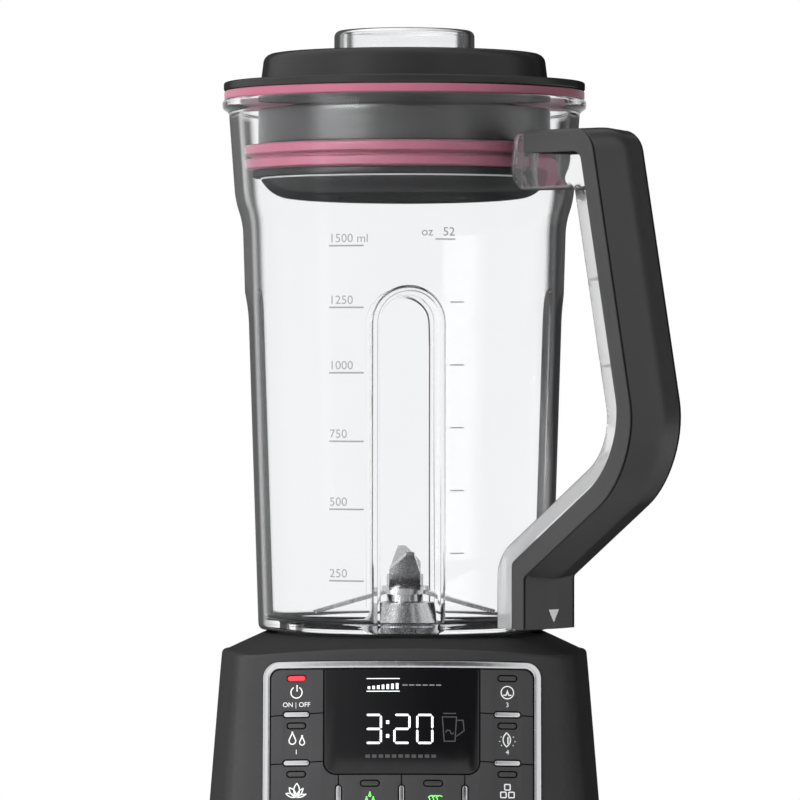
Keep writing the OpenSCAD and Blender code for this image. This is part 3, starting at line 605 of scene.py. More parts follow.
def plate(corners, low, high, rounding=0.0, rounded=None, steps=6):
    """A flat plate between two depths, with some or all of its corners rounded."""
    bm = bmesh.new()
    verts = [bm.verts.new((u, v, low)) for u, v in corners]
    bm.faces.new(verts)
    if rounding:
        group = verts if rounded is None else [verts[i] for i in rounded]
        round_off(bm, group, rounding, steps)
    grown = bmesh.ops.extrude_face_region(bm, geom=bm.faces[:], use_keep_orig=True)["geom"]
    bmesh.ops.translate(bm, vec=(0, 0, high - low), verts=verts_of(grown))
    tidy(bm)
    return bm


def oblong(width, height, at=(0, 0)):
    """Corners of an upright rectangle about a point."""
    x, y = at
    u, v = width / 2, height / 2
    return [(x - u, y - v), (x + u, y - v), (x + u, y + v), (x - u, y + v)]


def slice_up(bm, step, reach):
    """Divides a flat solid by upright planes, so that it can follow a curve."""
    count = int(2 * reach / step)
    for i in range(count + 1):
        bmesh.ops.bisect_plane(bm, geom=bm.verts[:] + bm.edges[:] + bm.faces[:], dist=1e-4,
                               plane_co=(-reach + i * step, 0, 0), plane_no=(1, 0, 0))


def wall_slope(side):
    """Half width or half depth of the base at a height, as a function."""
    base = settings().base
    span = mm(base.deck_w if side else base.deck_d) / 2
    lean = math.tan(base.side_lean if side else base.front_lean)
    return lambda z: span + (mm(base.deck_h) - z) * lean


def on_panel(bm, step=4, reach=52):
    """Slices flat panel work, bends it over the bulged front and leans it back."""
    slice_up(bm, step, reach)
    base = settings().base
    middle = mm(settings().panel.middle)
    bulge = mm(base.bulge)
    for vert in bm.verts:
        vert.co.z = math.sqrt((bulge + vert.co.z) ** 2 - vert.co.x ** 2) - bulge
    bmesh.ops.rotate(bm, cent=(0, 0, 0), verts=bm.verts,
                     matrix=Matrix.Rotation(math.pi / 2 - base.front_lean, 3, "X"))
    bmesh.ops.translate(bm, verts=bm.verts, vec=(0, -wall_slope(False)(middle), middle))
    return bm


def piece(bm, name, body, finish, replaces=(), sharp=32):
    """Writes a mesh as an object of the frame, in metres, on its body."""
    bmesh.ops.scale(bm, vec=(MM, MM, MM), verts=bm.verts)
    bmesh.ops.translate(bm, vec=AXIS, verts=bm.verts)
    mesh = bpy.data.meshes.new(name)
    bm.to_mesh(mesh)
    bm.free()
    mesh.materials.append(FINISH[finish])
    mesh.shade_smooth()
    mesh.set_sharp_from_angle(angle=math.radians(sharp))
    obj = bpy.data.objects.new(name, mesh)
    bpy.context.scene.collection.objects.link(obj)
    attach(obj, body)
    if replaces:
        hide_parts(*replaces)
    return obj


def paint(finish, *nodes):
    """Gives solid parts that stay in sight their finish."""
    for node in nodes:
        mesh = NODES[node].data
        mesh.materials.clear()
        mesh.materials.append(FINISH[finish])


# Line work for symbols


class Pen:
    """Draws flat line work and gives it a width and a small height."""

    def __init__(self):
        self.bm = bmesh.new()
        self.at = None

    def move(self, x, y):
        """Starts a new stroke."""
        self.at = self.bm.verts.new((x, y, 0))
        return self

    def to(self, x, y):
        """Goes on straight to a point."""
        vert = self.bm.verts.new((x, y, 0))
        self.bm.edges.new((self.at, vert))
        self.at = vert
        return self

    def swing(self, x, y, degrees, steps=10):
        """Goes on round a middle by an angle."""
        found = bmesh.ops.spin(self.bm, geom=[self.at], cent=(x, y, 0), axis=(0, 0, 1),
                               angle=math.radians(degrees), steps=steps)
        self.at = verts_of(found["geom_last"])[0]
        return self

    def circle(self, x, y, radius, steps=24):
        """A full circle."""
        return self.move(x + radius, y).swing(x, y, 360, steps)

    def drop(self, x, y, radius, height):
        """A drop with its tip up, about the middle of its round end."""
        lean = math.acos(radius / height)
        side = (radius * math.sin(lean), radius * math.cos(lean))
        self.move(x, y + height).to(x - side[0], y + side[1])
        self.swing(x, y, 360 - 2 * math.degrees(lean), 16)
        return self.to(x, y + height)

    def leaf(self, x, y, length, width, degrees=0):
        """A leaf of two arcs that starts at a point and lies in a direction."""
        radius = (length * length / 4 + width * width / 4) / width
        half = math.asin(length / 2 / radius)
        along = Vector((math.cos(math.radians(degrees)), math.sin(math.radians(degrees))))
        across = Vector((-along.y, along.x))
        foot = Vector((x, y))
        for side in (-1, 1):
            middle = foot + along * length / 2 + across * side * (radius - width / 2)
            self.move(x, y).swing(middle.x, middle.y, side * 2 * math.degrees(half), 10)
        return self

    def square(self, x, y, side, corner):
        """A square with round corners, from its lower left."""
        far = side - corner
        middles = ((far, far), (corner, far), (corner, corner), (far, corner))
        ends = ((corner, side), (0, corner), (far, 0), (side, far))
        self.move(x + side, y + far)
        for (u, v), (across, up) in zip(middles, ends):
            self.swing(x + u, y + v, 90, 4).to(x + across, y + up)
        return self

    def ribbon(self, width, low, height):
        """Gives the strokes their width and height and returns the mesh."""
        bm = self.bm
        grown = bmesh.ops.extrude_edge_only(bm, edges=bm.edges[:])["geom"]
        bmesh.ops.translate(bm, vec=(0, 0, height), verts=verts_of(grown))
        bmesh.ops.recalc_face_normals(bm, faces=bm.faces)
        bmesh.ops.solidify(bm, geom=bm.faces[:], thickness=width)
        bmesh.ops.translate(bm, vec=(0, 0, low), verts=bm.verts)
        tidy(bm)
        return bm


def lettering(text, height, at, low, thick, align="CENTER"):
    """Plain figures as a flat mesh."""
    curve = bpy.data.curves.new("figures", "FONT")
    curve.body = text
    curve.size = height / 0.7
    curve.align_x = align
    curve.extrude = thick / 2
    curve.resolution_u = 4
    obj = bpy.data.objects.new("figures", curve)
    bpy.context.scene.collection.objects.link(obj)
    bm = shown_mesh(obj)
    bpy.data.objects.remove(obj)
    bpy.data.curves.remove(curve)
    bmesh.ops.translate(bm, vec=(at[0], at[1], low + thick / 2), verts=bm.verts)
    tidy(bm)
    return bm


class BLENDERPART_OT_stage(bpy.types.Operator):
    """Sets the camera, the floor, the surroundings and the lamps"""

    bl_idname = "blenderpart.stage"
    bl_label = "Stage"

    # Brightness of the room in gloss, by the direction round from the camera to the right in degrees
    ROOM = ((-120, 1.0), (-62, 0.5), (-48, 1.0), (-36, 1.0), (-27, 0.5), (-10, 0.3), (8, 0.08), (25, 0.08),
            (36, 0.9), (60, 0.7), (80, 1.0), (105, 0.9), (114, 0.08), (150, 0.08), (162, 1.0))
    # Place, aim, width and height of each lamp in metres
    LAMPS = {
        "key": ((-1.25, -1.35, 0.85), (0, 0, 0.2), 0.9, 0.9),
        "left": ((-1.05, -0.6, 0.4), (0, 0, 0.25), 0.22, 1.0),
        "right": ((0.95, 0.35, 0.4), (0, 0, 0.25), 0.3, 1.0),
        "top": ((0.0, -0.2, 1.5), (0, 0, 0.2), 0.9, 0.9),
    }
    # Distances from the middle in metres between which the floor fades into the white
    FADE = (0.25, 1.1)

    def camera(self, stage):
        """A level camera in front of the object, a little to its right."""
        data = bpy.data.cameras.new("camera")
        data.sensor_width = 36
        data.lens = stage.lens
        data.shift_y = -stage.fall
        camera = bpy.data.objects.new("camera", data)
        round_axis = Matrix.Rotation(stage.orbit, 3, "Z")
        camera.location = AXIS + round_axis @ Vector((-stage.aside, -stage.distance, stage.eye))
        camera.rotation_euler = (math.pi / 2, 0, stage.orbit)
        bpy.context.scene.collection.objects.link(camera)
        bpy.context.scene.camera = camera

    def seen_level(self, tree, low):
        """A strength of one where the eye, mirrors and clear pieces look, and a lower one elsewhere."""
        rays = tree.add("LightPath").outputs
        seen = rays["Is Camera Ray"]
        for ray in ("Is Glossy Ray", "Is Transmission Ray"):
            seen = tree.combine("MAXIMUM", seen, rays[ray])
        return tree.level(seen, 0, 1, low, 1)

    def floor(self, stage):
        """A pale floor that keeps the shadow and fades into the white."""
        bm = bmesh.new()
        bmesh.ops.create_circle(bm, cap_ends=True, segments=96, radius=stage.floor_r)
        floor = loose_object(bm, "floor")
        recipe = Recipe("pale_floor")
        recipe.set(Base_Color=(0.86, 0.86, 0.86, 1), Roughness=0.9, Specular_IOR_Level=0.1)
        glow = recipe.add("Emission", {"Strength": self.seen_level(recipe, stage.sky)})
        away = recipe.add("VectorMath", {0: recipe.place}, operation="LENGTH").outputs["Value"]
        recipe.overlay(recipe.ramp(away, *self.FADE, 0, 1), glow.outputs["Emission"])
        floor.data.materials.append(recipe.material)

    def surroundings(self, stage):
        """White surroundings, which gloss sees as a room with light and dark walls."""
        world = bpy.data.worlds.new("studio")
        bpy.context.scene.world = world
        world.use_nodes = True
        tree = Tree(world.node_tree)
        way = tree.add("SeparateXYZ", {"Vector": tree.add("TexCoord").outputs["Generated"]}).outputs
        turn = tree.combine("ARCTAN2", way["X"], tree.combine("MULTIPLY", way["Y"], -1))
        room = tree.add("ValToRGB", {"Fac": tree.level(turn, -math.pi, math.pi, 0, 1)})
        stops = room.color_ramp.elements
        for degrees, bright in self.ROOM:
            stops.new((degrees + 180) / 360).color = (bright, bright, bright, 1)
        for end in (0, -1):
            stops[end].color = WHITE
        glossy = tree.add("LightPath").outputs["Is Glossy Ray"]
        shade = tree.mix(glossy, WHITE, room.outputs["Color"])
        tree.feed(tree.nodes["Background"], {"Color": shade, "Strength": self.seen_level(tree, stage.sky)})

    def lamp(self, name, watts):
        """A flat lamp that lights but isn't seen in gloss."""
        place, aim, width, height = self.LAMPS[name]
        data = bpy.data.lights.new(f"{name}_lamp", "AREA")
        data.shape = "RECTANGLE"
        data.size, data.size_y, data.energy = width, height, watts
        lamp = bpy.data.objects.new(f"{name}_lamp", data)
        lamp.visible_glossy = False
        lamp.location = place
        lamp.rotation_euler = (Vector(aim) - Vector(place)).to_track_quat("-Z", "Y").to_euler()
        bpy.context.scene.collection.objects.link(lamp)

    def execute(self, context):
        stage = settings().stage
        context.scene.view_settings.view_transform = "Standard"
        self.camera(stage)
        self.floor(stage)
        self.surroundings(stage)
        for name in self.LAMPS:
            self.lamp(name, getattr(stage, name))
        return {"FINISHED"}


class Layout:
    """Places on the flat panel, in millimetres from its middle."""

    corner, inner_corner, glass_corner, key_corner = 6, 3.6, 4.4, 3.5
    back = -4.2
    bar_l, bar_w = 9.6, 1.9
    lamp_l, lamp_w = 6.7, 1.85
    split = 23.5
    glass_drop = 4.6
    top_lamp_drop, lamp_drop, low_lamp_drop = 3.6, 4.2, 3.1
    symbol_rows, symbol_low = (19.7, 2.1, -16.9), -19.4

    def __init__(self):
        panel = settings().panel
        self.width, self.height, self.proud = mm(panel.width), mm(panel.height), mm(panel.proud)
        self.gap, self.edge = mm(panel.gap), mm(panel.key_edge)
        self.in_u = self.width / 2 - mm(panel.band)
        self.in_v = self.height / 2 - mm(panel.band)
        self.glass_u = self.in_u - mm(panel.key_w)
        self.row_1 = self.in_v - mm(panel.top_row)
        self.row_2 = self.row_1 - mm(panel.mid_row)
        self.glass_v = self.row_2 - self.glass_drop
        self.key_u = self.in_u - mm(panel.key_w) / 2
        self.low_v = (self.glass_v - self.in_v) / 2
        self.rise = mm(panel.key_w) / 2 * math.tan(panel.slope)
        rows = (self.in_v - self.top_lamp_drop, self.row_1 - self.lamp_drop, self.row_2 - self.lamp_drop)
        self.lamps = self.on_keys(rows, self.glass_v - self.low_lamp_drop)
        self.symbols = self.on_keys(self.symbol_rows, self.symbol_low)

    def on_keys(self, rows, low):
        """One place on each key: three rows on the left, three on the right and two in the middle."""
        sides = [(s * self.key_u, v) for s in (-1, 1) for v in rows]
        return sides + [(s * self.split / 2, low) for s in (-1, 1)]

    def bars(self):
        """Middle, width and height of the seven bars between the keys."""
        rows = (self.row_1, self.row_2)
        level = [((s * self.key_u, v), self.bar_l, self.bar_w) for s in (-1, 1) for v in rows]
        return level + [((s * self.split, self.low_v), self.bar_w, self.bar_l) for s in (-1, 0, 1)]

    def pill(self, width, height, at, low, high, grow=0):
        """An oblong with round ends, grown on all sides if asked."""
        ends = min(width, height) / 2 + grow - 0.02
        return plate(oblong(width + 2 * grow, height + 2 * grow, at), low, high, ends, steps=8)

    def glass(self, grow, low, high):
        """The display window with its two lower corners rounded."""
        w = self.glass_u - self.gap + grow
        top, foot = self.in_v - self.gap + grow, self.glass_v + self.gap - grow
        corners = [(-w, foot), (w, foot), (w, top), (-w, top)]
        return plate(corners, low, high, self.glass_corner + grow, (0, 1), 10)

    def key(self, number):
        """Corners of a key and those that lie in a round corner of the frame."""
        half = self.gap / 2
        wide, tall = self.in_u - self.gap, self.in_v - self.gap
        if number > 5:
            left, right = (-self.split + half, -half) if number == 6 else (half, self.split - half)
            return [(left, -tall), (right, -tall), (right, self.glass_v), (left, self.glass_v)], ()
        side = -1 if number < 3 else 1
        row = number % 3
        inner = self.split + half if row == 2 else self.glass_u
        top = (tall, self.row_1, self.row_2)[row]
        low = (self.row_1, self.row_2, -tall)[row]

        def joint(level, u, shift):
            """Height of a sloping joint between two keys, or of the frame."""
            share = (self.glass_u + self.in_u - 2 * u) / (self.in_u - self.glass_u)
            return level if abs(level) == tall else level + self.rise * share + shift

        corners = [(side * inner, joint(low, inner, half)), (side * wide, joint(low, wide, half)),
                   (side * wide, joint(top, wide, -half)), (side * inner, joint(top, inner, -half))]
        return corners, ((2,), (), (1,))[row]


class BLENDERPART_OT_housing(bpy.types.Operator):
    """Models the leaning housing with its domed deck and the openings for panel, seat and cord"""

    bl_idname = "blenderpart.housing"
    bl_label = "Housing"

    LEVELS = 12
    BROW = 1.2
    DECK_STEPS = (0.0, 0.35, 0.7, 1.0)
    MOUTH_GAP = 0.15
    CORD_R, CORD_PLACE = 6, (-30, 90, 30)

    def ring(self, bm, half_w, half_d, inset):
        """One rounded-square ring of three arcs, mirrored twice."""
        base = settings().base
        bulge = mm(base.bulge)
        corner = mm(base.corner) + half_w - mm(base.deck_w) / 2
        side, front = Vector((half_w - bulge, 0, 0)), Vector((0, half_d - bulge, 0))
        apart = side - front
        far = math.sqrt((bulge - corner) ** 2 - apart.length_squared / 4)
        middle = (side + front) / 2 + far * Vector((apart.y, -apart.x, 0)).normalized()
        first = math.atan2(middle.y - side.y, middle.x - side.x)
        last = math.atan2(middle.y - front.y, middle.x - front.x)
        arcs = ((side, first, 8), (middle, last - first, 14), (front, math.pi / 2 - last, 12))
        old = set(bm.verts) | set(bm.edges)
        vert = bm.verts.new((half_w - inset, 0, 0))
        for centre, turn, steps in arcs:
            found = bmesh.ops.spin(bm, geom=[vert], cent=centre, axis=(0, 0, 1), angle=turn, steps=steps)
            vert = verts_of(found["geom_last"])[0]
        for axis in "XY":
            grown = [g for g in bm.verts[:] + bm.edges[:] if g not in old]
            bmesh.ops.mirror(bm, geom=grown, merge_dist=1e-3, axis=axis, matrix=Matrix.Identity(4))
        return [v for v in bm.verts if v not in old], [e for e in bm.edges if e not in old]

    def shell(self):
        """The walls and the deck, bridged from ring to ring."""
        base = settings().base
        deck, wall, low = mm(base.deck_h), mm(base.wall), mm(base.foot_z)
        edge, brow_drop = mm(base.edge), mm(base.edge) + self.BROW
        half_w, half_d = wall_slope(True), wall_slope(False)
        bm = bmesh.new()
        rings = []

        def add_ring(z, inset, place):
            """One more ring, each point of which is put into place."""
            verts, run = self.ring(bm, half_w(z), half_d(z), inset)
            for vert in verts:
                place(vert)
            rings.append(run)

        def dome(point, share):
            """Height of the deck, which falls off towards the back, less so nearer to the well."""
            fall = mm(base.fall) * (point.y / half_d(deck) + 1) / 2 * (1 - share)
            return deck + (reach ** 2 - point.x ** 2 - point.y ** 2) / (2 * mm(base.dome)) - fall

        def on_deck(inset, share, sink=0.0):
            """A ring on the deck, some way from its rim to the well."""
            def place(vert):
                vert.co = vert.co.lerp(vert.co.normalized() * mm(base.well_r), share)
                vert.co.z = dome(vert.co, share) - sink
            add_ring(deck, inset, place)

        def at_level(z, inset=0):
            """A level ring in the walls."""
            def place(vert):
                vert.co.z = z
            add_ring(z, inset, place)

        rim, brow = self.ring(bm, half_w(deck), half_d(deck), 0)
        reach = max(v.co.length for v in rim)
        for i in range(self.LEVELS):
            at_level(low + (deck - low) * i / self.LEVELS)
        at_level(deck - mm(base.fall) - brow_drop)
        for vert in rim:
            vert.co.z = dome(vert.co, 0)
        rings.append(brow)
        for share in self.DECK_STEPS:
            on_deck(brow_drop, share)
        on_deck(wall, 1, wall)
        on_deck(wall, 0, wall)
        at_level(low, wall)
        for a, b in zip(rings, rings[1:] + rings[:1]):
            bmesh.ops.bridge_loops(bm, edges=a + b)
        tidy(bm)
        kept = {e for e in brow if e.is_valid}
        soften(bm, edge, 20, 6, lambda e: e in kept)
        return bm

    def execute(self, context):
        lay = Layout()
        gap = self.MOUTH_GAP
        mouth = plate(oblong(lay.width + 2 * gap, lay.height + 2 * gap), -8, 9, lay.corner + gap, steps=8)
        outlet = bmesh.new()
        bmesh.ops.create_cone(outlet, cap_ends=True, segments=48, radius1=self.CORD_R, radius2=self.CORD_R,
                              depth=60, matrix=Matrix.Translation(self.CORD_PLACE)
                              @ Matrix.Rotation(math.pi / 2, 4, "X"))
        bm = carve(self.shell(), [on_panel(mouth), outlet])
        piece(bm, "housing_shell", "base", "housing_black", ["housing"], 40)
        return {"FINISHED"}


class BLENDERPART_OT_panel(bpy.types.Operator):
    """Models the bright frame, the bars, the light guides and the display window"""

    bl_idname = "blenderpart.panel"
    bl_label = "Panel"

    def execute(self, context):
        lay = Layout()
        band = plate(oblong(lay.width, lay.height), lay.back, lay.proud, lay.corner, steps=10)
        band = carve(band, [plate(oblong(2 * lay.in_u, 2 * lay.in_v), -6, 4, lay.inner_corner, steps=10)])
        soften(band, 0.7, 60, 4, above(0))
        piece(on_panel(band), "bright_frame", "base", "bright_trim", ["panel_frame"], 35)

        bars = []
        for at, width, height in lay.bars():
            bar = lay.pill(width, height, at, lay.back, 0.6)
            soften(bar, 0.55, 60, 4, above(0))
            bars.append(on_panel(bar))
        piece(join(bars), "key_bar_pills", "base", "bright_trim", ["key_bars"], 35)

        guides = []
        for at in lay.lamps:
            guide = lay.pill(lay.lamp_l, lay.lamp_w, at, lay.back, -0.1)
            soften(guide, 0.3, 60, 3, above(-1))
            guides.append(on_panel(guide))
        piece(guides[0], "lit_guide", "base", "lit_red")
        piece(join(guides[1:]), "dark_guides", "base", "light_guide", ["light_guides"])

        glass = lay.glass(0, lay.back, 0.05)
        soften(glass, 0.25, 60, 3, above(-1))
        piece(on_panel(glass), "display_window", "base", "display_black", ["display_glass"])
        return {"FINISHED"}


# Plain line symbols for the keys, each about the middle of the drawing


def start_symbol(pen):
    """An open ring with an upright bar."""
    pen.move(1.05, 1.82).swing(0, 0, -300, 22)
    pen.move(0, 0.3).to(0, 2.5)


def blend_symbol(pen):
    """Two drops."""
    pen.drop(-1.1, -0.3, 1.1, 2.6)
    pen.drop(1.6, -0.8, 0.85, 2.1)


def leaf_symbol(pen):
    """Five leaves that open like a flower."""
    pen.leaf(0, -2, 4.2, 1.7, 90)
    for length, width, lean in ((3.6, 1.3, 52), (3.3, 1.0, 18)):
        for degrees in (lean, 180 - lean):
            pen.leaf(0, -2, length, width, degrees)


def pulse_symbol(pen):
    """A ring with one peak in it."""
    pen.circle(0, 0, 2.3, 28)
    pen.move(-1.4, -0.7).to(-0.6, -0.7).to(0, 1.0).to(0.6, -0.7).to(1.4, -0.7)


def grind_symbol(pen):
    """A kernel between small grains."""
    pen.leaf(0, -2.1, 4.2, 2.3, 90)
    pen.move(0, -1.2).to(0, 0.9)
    for side in (-1, 1):
        for step, height in ((1.9, 0.9), (2.4, -0.5), (1.8, -1.7)):
            pen.circle(side * step, height, 0.22, 8)


def ice_symbol(pen):
    """Three cubes in a heap."""
    for left, low in ((-0.95, 0.15), (-2.1, -2.05), (0.2, -2.05)):
        pen.square(left, low, 1.9, 0.35)


def rinse_symbol(pen):
    """Three drops in a heap."""
    for step, height in ((0, 0.7), (-1.3, -1.2), (1.3, -1.2)):
        pen.drop(step, height, 0.62, 1.55)


def warm_symbol(pen):
    """Three waves of steam."""
    for step in (-1.5, 0, 1.5):
        pen.move(step, -1.9).swing(step - 0.95, -0.95, 90, 6).swing(step + 0.95, -0.95, -90, 6)


# Each key with its symbol and how much that is enlarged
KEYS = {
    "start": (start_symbol, 1.1), "blend": (blend_symbol, 1.35), "leaf": (leaf_symbol, 1.25),
    "pulse": (pulse_symbol, 1.1), "grind": (grind_symbol, 1.2), "ice": (ice_symbol, 1.3),
    "rinse": (rinse_symbol, 0.95), "warm": (warm_symbol, 0.95),
}
# The last two keys, in the middle, have green symbols without a number
SIDE_KEYS = 6


class BLENDERPART_OT_keys(bpy.types.Operator):
    """Models the eight push keys with their slots"""

    bl_idname = "blenderpart.keys"
    bl_label = "Keys"

    def execute(self, context):
        lay = Layout()
        for number, name in enumerate(KEYS):
            corners, rounded = lay.key(number)
            bm = plate(corners, -3, 0.15, lay.key_corner if rounded else 0, rounded, 8)
            cutters = [lay.glass(lay.gap, -8, 6)]
            cutters += [lay.pill(width, height, at, -8, 6, lay.gap) for at, width, height in lay.bars()]
            cutters.append(lay.pill(lay.lamp_l, lay.lamp_w, lay.lamps[number], -8, 6, lay.gap))
            bm = carve(bm, [join(cutters)])
            bmesh.ops.dissolve_limit(bm, angle_limit=math.radians(1), verts=bm.verts, edges=bm.edges)
            soften(bm, lay.edge, 60, 3, above(0))
            node = f"{name}_key"
            piece(on_panel(bm, 3, 51), f"{node}_cap", node, "key_grey", [node], 30)
        return {"FINISHED"}


class BLENDERPART_OT_symbols(bpy.types.Operator):
    """Prints a plain symbol and a number on each key"""

    bl_idname = "blenderpart.symbols"
    bl_label = "Key symbols"

    LOW, THICK, STROKE = 0.13, 0.07, 0.42
    LABEL_H, LABEL_DROP = 1.75, 5.4

    def execute(self, context):
        lay = Layout()
        for number, (name, (draw, grow)) in enumerate(KEYS.items()):
            across, up = lay.symbols[number]
            pen = Pen()
            draw(pen)
            bmesh.ops.scale(pen.bm, vec=(grow, grow, grow), verts=pen.bm.verts)
            bmesh.ops.translate(pen.bm, vec=(across, up, 0), verts=pen.bm.verts)
            parts = [pen.ribbon(self.STROKE, self.LOW, self.THICK)]
            if number < SIDE_KEYS:
                label = str(number) if number else "ON | OFF"
                at = (across, up - self.LABEL_DROP)
                parts.append(lettering(label, self.LABEL_H, at, self.LOW, self.THICK))
            finish = "white_print" if number < SIDE_KEYS else "lit_green"
            piece(on_panel(join(parts), 3, 51), f"{name}_symbol", f"{name}_key", finish)
        return {"FINISHED"}


class BLENDERPART_OT_display(bpy.types.Operator):
    """Lights the time and the plain level marks in the display window"""

    bl_idname = "blenderpart.display"
    bl_label = "Display"

    LOW, THICK = 0.06, 0.05
    DIGIT_W, DIGIT_H, STROKE = 6.4, 11.2, 0.82
    SEGMENTS = {"0": "abcdef", "2": "abged", "3": "abgcd"}
    TIME, TIME_LOW = (("3", -13.7), ("2", -3.1), ("0", 5.4)), 0.3

    def bar(self, a, b):
        """One segment with pointed ends between two points."""
        a, b = Vector(a), Vector(b)
        way = (b - a).normalized()
        side = Vector((-way.y, way.x)) * self.STROKE / 2
        a, b = a + way * 0.2, b - way * 0.2
        neck = way * self.STROKE / 2
        corners = [a, a + neck - side, b - neck - side, b, b - neck + side, a + neck + side]
        return plate([tuple(c) for c in corners], self.LOW, self.LOW + self.THICK)

    def digit(self, figure, left, low):
        """A seven-segment figure."""
        right, top = left + self.DIGIT_W - self.STROKE / 2, low + self.DIGIT_H - self.STROKE / 2
        left, low = left + self.STROKE / 2, low + self.STROKE / 2
        half = (low + top) / 2
        ends = {
            "a": ((left, top), (right, top)), "b": ((right, half), (right, top)),
            "c": ((right, low), (right, half)), "d": ((left, low), (right, low)),
            "e": ((left, low), (left, half)), "f": ((left, half), (left, top)),
            "g": ((left, half), (right, half)),
        }
        return [self.bar(*ends[segment]) for segment in self.SEGMENTS[figure]]

    def spot(self, width, height, at):
        """A small lit oblong."""
        return plate(oblong(width, height, at), self.LOW, self.LOW + self.THICK)

    def lay(self, parts, name, finish):
        """Joins flat parts, bends them over the window and writes the piece."""
        piece(on_panel(join(parts), 3, 30), name, "base", finish)

    def jug_mark(self):
        """A small jug with a lid, a handle and a wave in it."""
        pen = Pen()
        pen.move(14.9, 10.6).to(20.6, 10.6).to(20.0, 1.2).to(15.6, 1.2).to(14.9, 10.6)
        pen.move(15.4, 11.9).to(20.2, 11.9)
        pen.move(20.5, 9.4).to(23.0, 9.4).to(23.4, 5.2).to(20.4, 3.0)
        pen.move(16.6, 4.6).swing(17.3, 4.6, -180, 8).swing(18.7, 4.6, 180, 8)
        return pen.ribbon(0.4, self.LOW, self.THICK)

    def execute(self, context):
        time = []
        for figure, left in self.TIME:
            time += self.digit(figure, left, self.TIME_LOW)
        time += [self.spot(1.15, 1.3, (-5.2, v)) for v in (3.3, 8.4)]
        self.lay(time, "time_figures", "lit_white")
        head = [self.spot(12.4, 0.28, (-6.9, v)) for v in (24.6, 19.9)]
        head += [self.spot(0.95, 1.0 + 0.2 * i, (-12.2 + 1.75 * i, 21.2 + 0.1 * i)) for i in range(7)]
        self.lay(head, "level_head", "lit_white")
        self.lay([self.spot(1.9, 0.5, (1.2 + 2.5 * i, 22.2)) for i in range(6)], "level_steps", "grey_print")
        self.lay([self.spot(1.7, 1.2, (-12.6 + 2.45 * i, -4.2)) for i in range(11)], "dim_row", "dim_print")
        self.lay([self.jug_mark()], "jug_mark", "dim_print")
        return {"FINISHED"}


# Drops from the rim of the jug to its shoulder, to the foot of its collar and to its lip
SHOULDER_DROP, COLLAR_DROP, LIP_DROP = 47, 39, 5
# Radius of the well round the blade
WELL_R = 42


def jug_radius(z):
    """Outer radius of the plain jug wall at a height."""
    jug = settings().jug
    low, high = mm(jug.foot) + 2, mm(jug.rim) - SHOULDER_DROP
    return mm(jug.low_r) + (z - low) * (mm(jug.top_r) - mm(jug.low_r)) / (high - low)


def on_jug(bm):
    """Lays flat print (across, up, out) on the front of the jug wall."""
    for vert in bm.verts:
        x, z, out = vert.co
        vert.co = (x, -math.sqrt((jug_radius(z) + out) ** 2 - x * x), z)
    return bm


def jug_solid(bore):
    """The outside of the jug as a turned solid, with a bore at the axis if asked."""
    jug = settings().jug
    foot, rim = mm(jug.foot), mm(jug.rim)
    hub, collar, lip = WELL_R + 3, mm(jug.collar_r), mm(jug.rim_r)
    return lathe([
        (bore, foot - 8, 0), (hub, foot - 8, 1), (hub, foot, 0.5), (mm(jug.low_r), foot, 2.4),
        (mm(jug.top_r), rim - SHOULDER_DROP, 4), (collar, rim - COLLAR_DROP, 4),
        (collar + 2.5, rim - LIP_DROP, 1), (lip, rim - LIP_DROP + 1.6, 1), (lip, rim, 1.2),
        (bore, rim, 0)], 256)


